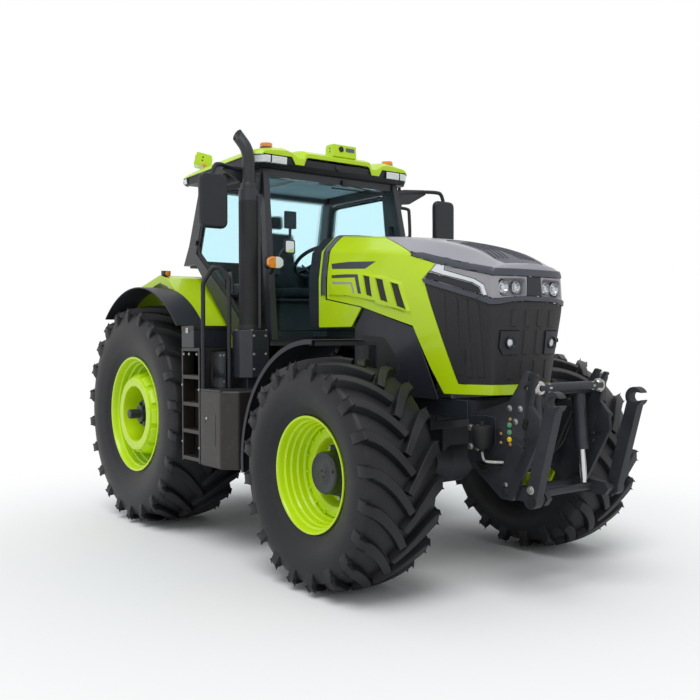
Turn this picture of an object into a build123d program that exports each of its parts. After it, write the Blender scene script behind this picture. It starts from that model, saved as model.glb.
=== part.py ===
"""Farm tractor: a four-wheel-drive row-crop tractor with a front three-point linkage.

Machine frame while modelling: X forward, Y to the left, Z up, millimetres.  The rear axle
centreline is X = 0, the ground is Z = 0.  Everything is shifted along X when it is written,
so that the origin of the finished part is the bottom centre of the whole machine.
"""
from build123d import *
import math
import os

os.makedirs("parts", exist_ok=True)

# ---------------------------------------------------------------- driving dimensions
WHEELBASE = 2744

FRONT_TYRE_R = 761
FRONT_TYRE_W = 600
FRONT_RIM_R = 381            # over the flanges of a 28 inch rim
FRONT_RIM_W = 457
FRONT_HALF_TRACK = 990

REAR_TYRE_R = 968
REAR_TYRE_W = 710
REAR_RIM_R = 508             # over the flanges of a 38 inch rim
REAR_RIM_W = 584
REAR_HALF_TRACK = 920

RIM_WALL = 12
RIM_FLANGE = 24              # height of a flange over the bead seat
BEAD_GAP = 0.3
RUNNING_GAP = 0.4            # between turning faces that seat on each other
PIN_FIT = 0.4                # radial play of a pin in its eye
SIDE_PLAY = 6                # beside an arm that swings past a plate
SEAT_GAP = 0.3               # under a curved piece that rests on its carrier

# front axle and steering
AXLE_BEAM_HALF_X = 75
AXLE_BEAM_HALF_Z = 70
KINGPIN_Y = 840
KINGPIN_R = 32
KINGPIN_BOSS_R = 82
KINGPIN_BOSS_HALF_Z = 110
KNUCKLE_ARM_T = 50
KNUCKLE_WALL_Y = 95          # from the kingpin out to the knuckle's upright wall
KNUCKLE_FACE = 135           # from the kingpin out to the hub's seat
SPINDLE_LENGTH = 50
KNUCKLE_TOP_Z = FRONT_TYRE_R + KINGPIN_BOSS_HALF_Z + 5
KNUCKLE_BOTTOM_Z = FRONT_TYRE_R - KINGPIN_BOSS_HALF_Z - 5
KINGPIN_DEPTH = 45
FENDER_POST_Y = (640, 656)
FENDER_POST_REACH = 80
TIE_ROD_Z = KNUCKLE_BOTTOM_Z + 15
STEER_ARM_X = 220            # from the kingpin back to the tie rod's pin
TIE_ROD_R = 22
HUB_CAP_R = 140
HUB_CAP_FACE_Y = 1100

# front fenders, carried by the knuckles
FRONT_FENDER_GAP = 100
FRONT_FENDER_T = 8
FRONT_FENDER_Y = (750, 1200)
FRONT_FENDER_ANGLES = (88, 186)   # degrees from straight ahead, over the top to the rear

# frame, engine, gearbox
RAIL_Y = (290, 360)
RAIL_Z = (1110, 1230)
RAIL_X = (1950, WHEELBASE + 576)
ENGINE_X = (1985, WHEELBASE + 156)
ENGINE_HALF_Y = 240
ENGINE_Z = (1060, 1800)
BOLSTER_Z = 1000
BOLSTER_HALF_X = 150
RADIATOR_X = (WHEELBASE + 216, WHEELBASE + 366)
RADIATOR_HALF_Y = 300
RADIATOR_TOP = 2010
GEARBOX_HALF_Y = 260
GEARBOX_Z = (570, 1250)
GEARBOX_FRONT_X = ENGINE_X[0]
HOUSING_X = (-180, 300)
HOUSING_HALF_Y = 330
HOUSING_Z = (620, 1300)
TRUMPET_END = 600

# hood: outer cross sections, from the rear edge to the nose
#   x, half width and height of the top, of the shoulder, of the side, then of the lower edge
HOOD_SECTIONS = (
    (1895, 300, 2430, 420, 2310, 450, 2100, 450, 1200),
    (WHEELBASE + 56, 280, 2330, 415, 2225, 450, 2010, 450, 1200),
    (WHEELBASE + 536, 265, 2215, 370, 2110, 400, 1930, 350, 1200),
    (WHEELBASE + 812, 255, 2105, 333, 2072, 344, 1850, 272, 1200),
)
HOOD_WALL = 12
HOOD_REAR_X = HOOD_SECTIONS[0][0]
HOOD_TOP_REAR = HOOD_SECTIONS[0][2]
HOOD_HALF_Y = HOOD_SECTIONS[0][5]
HOOD_HINGE = (HOOD_REAR_X - 15, HOOD_TOP_REAR - 14)
HOOD_PIN_R = 4
HOOD_BARREL_R = 8
HOOD_EAR_Y = (196, 206)
COWL_EAR_Y = (180, 190)
# lower edge of the hood's side, from the rear to the front of the nose
HOOD_EDGE = ((1895, 1937), (2320, 1866), (WHEELBASE + 136, 1718), (WHEELBASE + 286, 1436),
             (WHEELBASE + 386, 1262))
NOSE_BOTTOM = (WHEELBASE + 746, 1265)
NOSE_CHIN = (WHEELBASE + 810, 1850)
NOSE_BROW = (WHEELBASE + 800, 2072)
NOSE_CUT_X = WHEELBASE + 956    # ahead of the whole nose
PANEL_GAP = 8
COWL_X = (1655, HOOD_REAR_X - 30)

# cab: one leaning side plane each side, cut for the doors
CAB_LEAN = 3.4               # degrees that the sides lean in
CAB_SILL_Z = 1650
CAB_SILL_Y = 780
CAB_HEIGHT = 1350            # from the sills to the top of the frame
CAB_TOP_Z = CAB_SILL_Z + CAB_HEIGHT
CAB_WALL = 55
FLOOR_Z = 1620
FLOOR_T = 40
FLOOR_FRONT_X = 1600
TUNNEL_HALF_Y = 540
SCREEN_TOP = (1338, CAB_TOP_Z + 7)
SCREEN_BOTTOM = (1578, 1655)
GLASS_T = 8
DOOR_T = 30
DOOR_GAP = 8
# door outline in the side plane, clockwise from the lower rear corner
DOOR_TOP_Z = CAB_TOP_Z - 75
DOOR_OUTLINE = ((300, 2400), (425, DOOR_TOP_Z), (1215, DOOR_TOP_Z), (1268, 1800), (1120, 1800), (950, 1945))
DOOR_HINGE_LEAN = 0.235      # forward run of the hinge line for each unit of height
DOOR_HINGE_OFFSET = (-14, 12)     # ahead of and outside the door's lower rear corner
HINGE_R = 9
HINGE_LENGTH = 42
HINGE_RISES = (70, DOOR_TOP_Z - 2525)      # heights of the two hinges above the door's lower rear corner
ROOF_HALF_Y = 830
SEAT_X = 640
WHEEL_CENTRE = (1130, 2300)
WHEEL_TILT = 35              # degrees that the steering wheel's axis leans back from upright
WHEEL_R = 205

# rear fenders
FENDER_CENTRE = (191, 1015)
FENDER_R = 1068
FENDER_T = 10
FENDER_SPLIT_Y = 1020        # coloured inner panel to black outer extension
FENDER_OUTER_Y = 1265
FENDER_ANGLES = (43, 131)    # degrees above forward
FENDER_STAY_X = (-70, 50)

# tank, ladders and rails; the same on both sides, apart from the exhaust
SIDE_OUTER_Y = 1230
TANK_X = (1010, 1720)
TANK_INNER_Y = 560
TANK_Z = (660, 1247)
TANK_CHAMFER = 100
LADDER_X = (990, 1293)
LADDER_TOP_Z = 1563
LADDER_BOTTOM_Z = 670
LADDER_DEPTH = 100
LADDER_PLATE = 22
RUNGS = 4
RAIL_TUBE_R = 17
TOOL_BOX_X = (980, 1190)
TOOL_BOX_TOP = 1734

EXHAUST_X = 1442
EXHAUST_Y = -872
EXHAUST_PIPE_R = 48
EXHAUST_GUARD_R = 80
EXHAUST_GUARD_TOP = 2800
EXHAUST_BOX_X = (1410, 1600)
EXHAUST_BOX_Y = (-1010, -790)
EXHAUST_BOX_Z = (1334, 1700)

MIRROR_Y = (1072, 1310)
MIRROR_Z = (CAB_TOP_Z - 530, CAB_TOP_Z - 110)
MIRROR_X = 1450
MIRROR_T = 70

# front linkage
PLATE_Y = (318, 348)
ROCKER_PIN = (WHEELBASE + 907, 679)
LINK_PIN = (WHEELBASE + 1156, 672)
ROCKER_ARM_Y = (270, 312)
LINK_Y = (360, 425)
LINK_WIDTH = 84
HOOK_PIN = (WHEELBASE + 1318, 1262)
HOOK_R = 62
HOOK_BORE_R = 31
LINK_PIN_R = 25
LIFT_PIN = (WHEELBASE + 1051, 676)
LIFT_TOP = (WHEELBASE + 1006, 1276)
LIFT_TILT_ROOM = 2.6         # over the barrel's tilted end
LIFT_Y = 215
LIFT_BARREL_R = 45
LIFT_ROD_R = 22
LIFT_BARREL_LENGTH = 360
TOP_LINK_STORE = (WHEELBASE + 1106, 1330)

# rear linkage: arm, rod, lower link and housing are an exact parallelogram
REAR_ARM_PIVOT = (-280, 1160)
REAR_LINK_PIVOT = (-280, 560)
REAR_CRANK = 400
REAR_LINK_LENGTH = 830
REAR_ARM_Y = (280, 320)
REAR_LINK_Y = (345, 385)
REAR_EYE_R = 35
REAR_BALL_HOLE_R = 14
TOP_LINK_PIVOT = (-370, 900)
TOP_LINK_LENGTH = 600
PTO_Z = 640
PTO_R = 17.5
PTO_LENGTH = 90
DRAWBAR_Z = (400, 432)
DRAWBAR_END_X = -560
DRAWBAR_HOLE_R = 16

FRONT_END_X = HOOK_PIN[0] + HOOK_R
REAR_END_X = REAR_LINK_PIVOT[0] - REAR_LINK_LENGTH - REAR_EYE_R
X_MIDDLE = (FRONT_END_X + REAR_END_X) / 2

# ---------------------------------------------------------------- shape helpers


def write(name, shape):
    """Shift a finished piece to the part's own origin and write its STEP file."""
    export_step(Pos(-X_MIDDLE, 0, 0) * shape, f"parts/{name}.step")


def block(x, y, z):
    """Box from three (low, high) pairs."""
    size = Box(x[1] - x[0], y[1] - y[0], z[1] - z[0])
    return Pos((x[0] + x[1]) / 2, (y[0] + y[1]) / 2, (z[0] + z[1]) / 2) * size


def mid_block(x, half_y, z):
    return block(x, (-half_y, half_y), z)


def side_plate(outline, y):
    """Prism of an XZ outline between two Y values."""
    face = make_face(Polyline(*[(px, y[0], pz) for px, pz in outline], close=True))
    return extrude(face, amount=y[1] - y[0], dir=(0, 1, 0))


def plan_plate(outline, z):
    """Prism of an XY outline between two Z values."""
    face = make_face(Polyline(*[(px, py, z[0]) for px, py in outline], close=True))
    return extrude(face, amount=z[1] - z[0], dir=(0, 0, 1))


def rod(start, end, radius):
    a, b = Vector(*start), Vector(*end)
    return extrude(Plane(origin=a, z_dir=b - a) * Circle(radius), amount=(b - a).length)


def cross_rod(x, z, y, radius):
    return rod((x, y[0], z), (x, y[1], z), radius)


def bent_tube(points, radius, bend):
    path = FilletPolyline(*points, radius=bend)
    return sweep(Plane(origin=path @ 0, z_dir=path % 0) * Circle(radius), path=path)


def turned(edges, centre):
    """Revolve a closed outline of (radius, y) edges about a Y axis through centre (x, z)."""
    ring = revolve(make_face(edges), axis=Axis.Y, revolution_arc=360)
    return Pos(centre[0], 0, centre[1]) * ring


def lathe(points, centre):
    return turned(Polyline(*[(r, y, 0) for r, y in points], close=True), centre)


def both_sides(shape):
    return shape + mirror(shape, about=Plane.XZ)


def arc_sheet(centre, radius, thickness, y, angles):
    """Curved sheet round a Y axis, from angles[0] to angles[1] degrees above forward."""
    def at(r, degrees):
        a = math.radians(degrees)
        return (centre[0] + r * math.cos(a), y[0], centre[1] + r * math.sin(a))
    middle = sum(angles) / 2
    outer = ThreePointArc(at(radius + thickness, angles[0]), at(radius + thickness, middle),
                          at(radius + thickness, angles[1]))
    inner = ThreePointArc(at(radius, angles[1]), at(radius, middle), at(radius, angles[0]))
    ends = [Line(outer @ 1, inner @ 0), Line(inner @ 1, outer @ 0)]
    return extrude(make_face([outer, ends[0], inner, ends[1]]), amount=y[1] - y[0], dir=(0, 1, 0))


# ---------------------------------------------------------------- wheels


def tyre(centre, tyre_r, tyre_w, rim_r, rim_w):
    """Carcass and tread as one ring; its crown is the outer radius of the lugs."""
    seat = rim_r - RIM_FLANGE + BEAD_GAP
    half = rim_w / 2 - RIM_WALL - BEAD_GAP
    top = rim_r + BEAD_GAP
    belly = (top + tyre_r) / 2
    shoulder = (tyre_r - 38, tyre_w / 2 - 28)
    y = centre[1]
    lines = [
        Polyline((top, y - half), (seat, y - half), (seat, y + half), (top, y + half)),
        ThreePointArc((top, y + half), (belly, y + tyre_w / 2), (shoulder[0], y + shoulder[1])),
        ThreePointArc((shoulder[0], y + shoulder[1]), (tyre_r, y), (shoulder[0], y - shoulder[1])),
        ThreePointArc((shoulder[0], y - shoulder[1]), (belly, y - tyre_w / 2), (top, y - half)),
    ]
    return turned(lines, (centre[0], centre[2]))


def rim(centre, rim_r, rim_w, disc):
    """Welded rim: barrel with two flanges, and the disc given as (radius, y) pairs."""
    y, half = centre[1], rim_w / 2
    well = rim_r - RIM_FLANGE
    barrel = [
        (rim_r, y + half), (rim_r, y + half - RIM_WALL), (well, y + half - RIM_WALL),
        (well, y - half + RIM_WALL), (rim_r, y - half + RIM_WALL), (rim_r, y - half),
        (well - RIM_WALL, y - half), (well - RIM_WALL, y + half),
    ]
    axis = (centre[0], centre[2])
    return lathe(barrel, axis) + lathe(disc, axis)


def front_wheel_left():
    """Rim, dished disc and planetary hub, which turn together."""
    centre = (WHEELBASE, FRONT_HALF_TRACK, FRONT_TYRE_R)
    inside = FRONT_RIM_R - RIM_FLANGE - RIM_WALL
    disc = [(inside + 2, 1080), (inside + 2, 1060), (250, 1004), (170, 1004), (170, 1020),
            (245, 1020)]
    face = KINGPIN_Y + KNUCKLE_FACE
    hub = [(70 + PIN_FIT, face + RUNNING_GAP), (175, face + RUNNING_GAP), (175, 1030),
           (HUB_CAP_R, 1040), (HUB_CAP_R, HUB_CAP_FACE_Y - 15), (HUB_CAP_R - 15, HUB_CAP_FACE_Y),
           (0, HUB_CAP_FACE_Y), (0, face + SPINDLE_LENGTH + 5), (70 + PIN_FIT, face + SPINDLE_LENGTH + 5)]
    wheel = rim(centre, FRONT_RIM_R, FRONT_RIM_W, disc)
    return wheel + lathe(hub, (centre[0], centre[2]))


def rear_wheel_left():
    """Rim with a cast centre near its outer face, and the bar axle it is clamped on."""
    centre = (0, REAR_HALF_TRACK, REAR_TYRE_R)
    inside = REAR_RIM_R - RIM_FLANGE - RIM_WALL
    ring_face = 1205
    disc = [(inside + 2, 1150), (inside + 2, 1120), (300, 1150), (120, 1090), (120, 1110),
            (249, 1165), (249, ring_face), (316, ring_face), (330, 1172)]
    axle = [(0, TRUMPET_END + RUNNING_GAP), (90, TRUMPET_END + RUNNING_GAP), (90, 680), (55, 690),
            (55, 1060), (122, 1075), (122, 1125), (75, 1160), (42, 1165), (42, 1255), (0, 1255)]
    wheel = rim(centre, REAR_RIM_R, REAR_RIM_W, disc)
    return wheel + lathe(axle, (0, REAR_TYRE_R))


# ---------------------------------------------------------------- front axle and steering


def front_axle():
    """Beam with the differential in its middle and an eye for the kingpin at each end."""
    z = FRONT_TYRE_R
    beam = mid_block((WHEELBASE - AXLE_BEAM_HALF_X, WHEELBASE + AXLE_BEAM_HALF_X), KINGPIN_Y - 60,
                     (z - AXLE_BEAM_HALF_Z, z + AXLE_BEAM_HALF_Z))
    differential = lathe([(0, -190), (110, -190), (165, -90), (165, 90), (110, 190), (0, 190)],
                         (WHEELBASE, z))
    saddle = mid_block((WHEELBASE - 120, WHEELBASE + 120), 150, (z + 80, BOLSTER_Z))
    boss = rod((WHEELBASE, KINGPIN_Y, z - KINGPIN_BOSS_HALF_Z),
               (WHEELBASE, KINGPIN_Y, z + KINGPIN_BOSS_HALF_Z), KINGPIN_BOSS_R)
    bore = rod((WHEELBASE, KINGPIN_Y, z - 200), (WHEELBASE, KINGPIN_Y, z + 200),
               KINGPIN_R + PIN_FIT)
    return beam + differential + saddle + both_sides(boss) - both_sides(bore)


def knuckle_left():
    """C-shaped swivel housing with its spindle, steering arm and the fender's post."""
    z = FRONT_TYRE_R
    wall = block((WHEELBASE - 90, WHEELBASE + 90),
                 (KINGPIN_Y + KNUCKLE_WALL_Y, KINGPIN_Y + KNUCKLE_FACE),
                 (KNUCKLE_BOTTOM_Z - KNUCKLE_ARM_T, KNUCKLE_TOP_Z + KNUCKLE_ARM_T))
    flange = lathe([(0, KINGPIN_Y + 100), (150, KINGPIN_Y + 100), (150, KINGPIN_Y + KNUCKLE_FACE),
                    (0, KINGPIN_Y + KNUCKLE_FACE)], (WHEELBASE, z))
    spindle = cross_rod(WHEELBASE, z, (KINGPIN_Y + 110, KINGPIN_Y + KNUCKLE_FACE + SPINDLE_LENGTH), 70)
    top = block((WHEELBASE - 90, WHEELBASE + 90), (FENDER_POST_Y[0], KINGPIN_Y + KNUCKLE_FACE),
                (KNUCKLE_TOP_Z, KNUCKLE_TOP_Z + KNUCKLE_ARM_T))
    bottom = block((WHEELBASE - 90, WHEELBASE + 90), (KINGPIN_Y - 80, KINGPIN_Y + KNUCKLE_FACE),
                   (KNUCKLE_BOTTOM_Z - KNUCKLE_ARM_T, KNUCKLE_BOTTOM_Z))
    pins = rod((WHEELBASE, KINGPIN_Y, KNUCKLE_TOP_Z + 10),
               (WHEELBASE, KINGPIN_Y, KNUCKLE_TOP_Z - KINGPIN_DEPTH), KINGPIN_R)
    pins += rod((WHEELBASE, KINGPIN_Y, KNUCKLE_BOTTOM_Z - 10),
                (WHEELBASE, KINGPIN_Y, KNUCKLE_BOTTOM_Z + KINGPIN_DEPTH), KINGPIN_R)
    arm = block((WHEELBASE - STEER_ARM_X, WHEELBASE - 80), (KINGPIN_Y - 35, KINGPIN_Y + 35),
                (KNUCKLE_BOTTOM_Z - KNUCKLE_ARM_T, KNUCKLE_BOTTOM_Z - 20))
    eye_x = WHEELBASE - STEER_ARM_X
    arm += rod((eye_x, KINGPIN_Y, KNUCKLE_BOTTOM_Z - KNUCKLE_ARM_T),
               (eye_x, KINGPIN_Y, KNUCKLE_BOTTOM_Z - 20), 35)
    arm += rod((eye_x, KINGPIN_Y, KNUCKLE_BOTTOM_Z - 25), (eye_x, KINGPIN_Y, TIE_ROD_Z + 30), 12)
    fender_r = FRONT_TYRE_R + FRONT_FENDER_GAP
    post_top = z + math.sqrt(fender_r ** 2 - FENDER_POST_REACH ** 2) - SEAT_GAP
    post = block((WHEELBASE - FENDER_POST_REACH, WHEELBASE + 10), FENDER_POST_Y,
                 (KNUCKLE_TOP_Z, post_top))
    for x in (-FENDER_POST_REACH, -20):
        post += block((WHEELBASE + x, WHEELBASE + x + 20), (FENDER_POST_Y[1], FRONT_FENDER_Y[1] - 50),
                      (post_top - 30, post_top))
    return wall + flange + spindle + top + bottom + pins + arm + post


def tie_rod():
    """Bar between the two steering arms, with an eye on each arm's pin."""
    x = WHEELBASE - STEER_ARM_X
    bar = cross_rod(x, TIE_ROD_Z, (-KINGPIN_Y, KINGPIN_Y), TIE_ROD_R)
    eye = rod((x, KINGPIN_Y, TIE_ROD_Z - 26), (x, KINGPIN_Y, TIE_ROD_Z + 26), 30)
    hole = rod((x, KINGPIN_Y, TIE_ROD_Z - 60), (x, KINGPIN_Y, TIE_ROD_Z + 60), 12 + PIN_FIT)
    return bar + both_sides(eye) - both_sides(hole)


def front_fender_left():
    """Curved sheet over the tyre, resting on the two arms of the knuckle's post."""
    inner_r = FRONT_TYRE_R + FRONT_FENDER_GAP
    sheet = arc_sheet((WHEELBASE, FRONT_TYRE_R), inner_r, FRONT_FENDER_T, FRONT_FENDER_Y,
                      FRONT_FENDER_ANGLES)
    lip_y = (FRONT_FENDER_Y[1], FRONT_FENDER_Y[1] + FRONT_FENDER_T)
    lip = arc_sheet((WHEELBASE, FRONT_TYRE_R), inner_r - 25, 25 + FRONT_FENDER_T, lip_y,
                    FRONT_FENDER_ANGLES)
    return sheet + lip


# ---------------------------------------------------------------- chassis


def engine_block():
    return mid_block(ENGINE_X, ENGINE_HALF_Y, ENGINE_Z)


def radiator():
    return mid_block(RADIATOR_X, RADIATOR_HALF_Y, (RAIL_Z[1], RADIATOR_TOP))


def front_frame():
    """Two rails from the gearbox to the linkage, with the axle's bolster between them."""
    rails = both_sides(block(RAIL_X, RAIL_Y, RAIL_Z))
    x = (WHEELBASE - BOLSTER_HALF_X, WHEELBASE + BOLSTER_HALF_X)
    bolster = mid_block(x, RAIL_Y[0], (BOLSTER_Z, ENGINE_Z[0]))
    ears = both_sides(block(x, (ENGINE_HALF_Y + 4, RAIL_Y[0]), (ENGINE_Z[0], RAIL_Z[1])))
    rear = both_sides(block((RAIL_X[0], GEARBOX_FRONT_X), (GEARBOX_HALF_Y, RAIL_Y[0]), RAIL_Z))
    nose = mid_block((RAIL_X[1] - 60, RAIL_X[1]), RAIL_Y[0], (RAIL_Z[0], RAIL_Z[1]))
    return rails + bolster + ears + rear + nose


def gearbox():
    case = mid_block((HOUSING_X[1], GEARBOX_FRONT_X), GEARBOX_HALF_Y, GEARBOX_Z)
    return case


def rear_axle_housing():
    """Centre housing with two trumpets, the lift shaft's lugs and the lower links' lugs."""
    centre = mid_block(HOUSING_X, HOUSING_HALF_Y, HOUSING_Z)
    trumpet = lathe([(0, HOUSING_HALF_Y - 5), (200, HOUSING_HALF_Y - 5), (130, 480),
                     (130, TRUMPET_END), (0, TRUMPET_END)], (0, REAR_TYRE_R))
    px, pz = REAR_ARM_PIVOT
    lug = side_plate([(HOUSING_X[0], pz - 90), (HOUSING_X[0], pz + 90), (px - 20, pz + 45),
                      (px - 50, pz), (px - 20, pz - 45)], (190, 250))
    lug -= cross_rod(px, pz, (150, 300), 34 + PIN_FIT)
    qx, qz = REAR_LINK_PIVOT
    foot = side_plate([(HOUSING_X[0] + 140, HOUSING_Z[0] + 60), (HOUSING_X[0] - 1, HOUSING_Z[0] + 60),
                       (qx - 40, qz + 20), (qx - 40, qz - 35), (qx + 40, qz - 35)], (290, HOUSING_HALF_Y))
    pin = cross_rod(qx, qz, (300, REAR_LINK_Y[1] + 12), 18)
    return centre + both_sides(trumpet) + both_sides(lug) + both_sides(foot) + both_sides(pin)


# ---------------------------------------------------------------- hood and cowl


def hood_section(row, inset):
    x, top_y, top_z, shoulder_y, shoulder_z, side_y, side_z, low_y, low_z = row
    half = [(top_y - inset / 2, top_z - inset), (shoulder_y - inset, shoulder_z - inset / 2),
            (side_y - inset, side_z), (low_y - inset, low_z - 3 * inset)]
    points = [(x, -y, z) for y, z in half] + [(x, y, z) for y, z in reversed(half)]
    return make_face(Polyline(*points, close=True))


def hood_loft(inset, stretch):
    """Solid through the hood's sections, lengthened at both ends by stretch."""
    rows = [list(row) for row in HOOD_SECTIONS]
    rows[0][0] -= stretch
    rows[-1][0] += stretch
    solid = None
    for rear, front in zip(rows, rows[1:]):
        span = loft([hood_section(rear, inset), hood_section(front, inset)], ruled=True)
        solid = span if solid is None else solid + span
    return solid


def hood_whole():
    """Hood as one shell with an open underside and rear."""
    roof = HOOD_TOP_REAR + 80
    outline = [*HOOD_EDGE, NOSE_BOTTOM, NOSE_CHIN, NOSE_BROW, (NOSE_BROW[0], roof),
               (HOOD_REAR_X, roof)]
    hollow = [(HOOD_REAR_X - 50, 1000), (NOSE_BOTTOM[0] - HOOD_WALL, 1000),
              (NOSE_BOTTOM[0] - HOOD_WALL, NOSE_BOTTOM[1]), (NOSE_CHIN[0] - HOOD_WALL, NOSE_CHIN[1]),
              (NOSE_BROW[0] - HOOD_WALL, NOSE_BROW[1]), (NOSE_BROW[0] - HOOD_WALL, roof),
              (HOOD_REAR_X - 50, roof)]
    outer = hood_loft(0, 0) & side_plate(outline, (-600, 600))
    inner = hood_loft(HOOD_WALL, 30) & side_plate(hollow, (-600, 600))
    return outer - inner


# where the nose's pieces part, as side outlines
TOP_PANEL_EDGE = ((2040, 2395), (WHEELBASE + 106, 2250), (WHEELBASE + 326, 2132), (WHEELBASE + 556, 2100),
                  (WHEELBASE + 856, 2060))
GRILLE_OUTLINE = ((WHEELBASE + 246, 2003), (WHEELBASE + 496, 1335), (NOSE_CUT_X, 1335), (NOSE_CUT_X, 1850),
                  (WHEELBASE + 556, 1895))


def nose_cutter(outline):
    return side_plate(outline, (-600, 600))


def hood_pieces():
    """The shell, the top panel, the lamp surround and the grille, cut from one hood."""
    whole = hood_whole()
    roof = HOOD_TOP_REAR + 80
    top_cut = nose_cutter([*TOP_PANEL_EDGE, (TOP_PANEL_EDGE[4][0], roof), (TOP_PANEL_EDGE[0][0], roof)])
    grille_cut = nose_cutter(GRILLE_OUTLINE)
    lamp_cut = nose_cutter([GRILLE_OUTLINE[0], GRILLE_OUTLINE[4], GRILLE_OUTLINE[3], (NOSE_CUT_X, 2040),
                            *reversed(TOP_PANEL_EDGE[2:])])
    top = whole & top_cut
    grille = whole & grille_cut
    lamps = (whole - top_cut - grille_cut) & lamp_cut
    shell = whole - top_cut - grille_cut - lamp_cut
    px, pz = HOOD_HINGE
    ear = block((px, HOOD_REAR_X + 12), HOOD_EAR_Y, (pz - HOOD_BARREL_R, pz + HOOD_BARREL_R))
    ear += cross_rod(px, pz, HOOD_EAR_Y, HOOD_BARREL_R)
    ear -= cross_rod(px, pz, (HOOD_EAR_Y[0] - 5, HOOD_EAR_Y[1] + 5), HOOD_PIN_R + PIN_FIT)
    shell += both_sides(ear)
    return {"hood_shell": shell, "hood_top_panel": top, "grille": grille, "headlight_unit": lamps}


def cowl():
    """Fixed band behind the hood, with a low cheek under the hood's rear corners."""
    row = HOOD_SECTIONS[0]
    outer = extrude(hood_section((COWL_X[0], *row[1:]), 0), amount=COWL_X[1] - COWL_X[0], dir=(1, 0, 0))
    inner = extrude(hood_section((COWL_X[0] - 5, *row[1:]), HOOD_WALL),
                    amount=COWL_X[1] - COWL_X[0] + 10, dir=(1, 0, 0))
    band = (outer - inner) & block((1000, 3000), (-600, 600), (FLOOR_Z + 100, 2600))
    edge = PANEL_GAP
    cheek = side_plate([(COWL_X[1] - 2, FLOOR_Z + 100), (2200, FLOOR_Z + 100),
                        (2320, HOOD_EDGE[1][1] - edge), (HOOD_REAR_X, HOOD_EDGE[0][1] - edge),
                        (COWL_X[1] - 2, HOOD_EDGE[0][1] - edge)],
                       (HOOD_HALF_Y - HOOD_WALL, HOOD_HALF_Y))
    carrier = mid_block((ENGINE_X[0] - 40, ENGINE_X[0]), HOOD_HALF_Y - HOOD_WALL,
                        (FLOOR_Z + 100, HOOD_EDGE[0][1] - 40))
    px, pz = HOOD_HINGE
    ear = block((COWL_X[1] - 12, px), COWL_EAR_Y, (pz - HOOD_BARREL_R, pz + HOOD_BARREL_R))
    ear += cross_rod(px, pz, COWL_EAR_Y, HOOD_BARREL_R)
    pin = cross_rod(px, pz, (COWL_EAR_Y[0], HOOD_EAR_Y[1] + 4), HOOD_PIN_R)
    return band + both_sides(cheek) + carrier + both_sides(ear + pin)


def side_panels():
    """Black panels beside the engine, below the hood's lower edge."""
    gap = PANEL_GAP
    outline = [(2212, FLOOR_Z + 100), (2328, HOOD_EDGE[1][1] - gap - 4),
               (HOOD_EDGE[2][0] - 8, HOOD_EDGE[2][1] - gap), (HOOD_EDGE[3][0] - 12, HOOD_EDGE[3][1] - gap),
               (HOOD_EDGE[4][0] - 18, RAIL_Z[1] + 10), (HOOD_EDGE[4][0] - 18, RAIL_Z[1]),
               (2212, RAIL_Z[1])]
    panel = side_plate(outline, (HOOD_HALF_Y - 30, HOOD_HALF_Y - 22))
    brackets = None
    for x in (2400, WHEELBASE + 216):
        bracket = block((x, x + 40), (RAIL_Y[1] - 30, HOOD_HALF_Y - 28), (RAIL_Z[1], RAIL_Z[1] + 40))
        brackets = bracket if brackets is None else brackets + bracket
    return both_sides(panel + brackets)


# ---------------------------------------------------------------- cab


def in_side_plane(shape):
    """Lean a piece made between y = 0 (outside) and negative y into the left side's plane."""
    leaned = Rot(CAB_LEAN, 0, 0) * (Pos(0, 0, -CAB_SILL_Z) * shape)
    return Pos(0, CAB_SILL_Y, CAB_SILL_Z) * leaned


# upper edge of the wheel well inside the cab's side, from the rear to the floor
SHELF_OUTER_Y = CAB_SILL_Y - CAB_WALL - 48
WELL_LINE = ((60, 2300), (290, 2300), (945, 1720), (1040, FLOOR_Z + 4))
SCREEN_SLOPE = (SCREEN_BOTTOM[0] - SCREEN_TOP[0]) / (SCREEN_TOP[1] - SCREEN_BOTTOM[1])


def screen_x(z):
    return SCREEN_TOP[0] + (SCREEN_TOP[1] - z) * SCREEN_SLOPE


def grown(outline, gap):
    """Outline moved outward by gap, for outlines that run clockwise as seen from the right."""
    count = len(outline)
    moved = []
    for i in range(count):
        (ax, az), (bx, bz), (cx, cz) = outline[i - 1], outline[i], outline[(i + 1) % count]
        d1 = Vector(bx - ax, 0, bz - az).normalized()
        d2 = Vector(cx - bx, 0, cz - bz).normalized()
        n1 = Vector(-d1.Z, 0, d1.X)
        n2 = Vector(-d2.Z, 0, d2.X)
        middle = (n1 + n2).normalized()
        step = gap / max(middle.dot(n1), 0.3)
        moved.append((bx + middle.X * step, bz + middle.Z * step))
    return moved


def hinge_point(rise, y=None):
    """Point on the door's hinge line, in the flat side plane, at a height above its corner."""
    x, z = DOOR_OUTLINE[0]
    y = DOOR_HINGE_OFFSET[1] if y is None else y
    return (x + DOOR_HINGE_OFFSET[0] + DOOR_HINGE_LEAN * rise, y, z + rise)


def hinge_half(rise, reach):
    """Barrel on the hinge line with a leaf that reaches forward to the door or back to the cab."""
    barrel = rod(hinge_point(rise), hinge_point(rise + HINGE_LENGTH), HINGE_R)
    x, _, z = hinge_point(rise + HINGE_LENGTH / 2)
    leaf = block((min(x, x + reach), max(x, x + reach)), (1, 6), (z - 18, z + 18))
    foot = block((min(x + reach / 2, x + reach), max(x + reach / 2, x + reach)), (0, 1), (z - 18, z + 18))
    return barrel + leaf + foot


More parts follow.
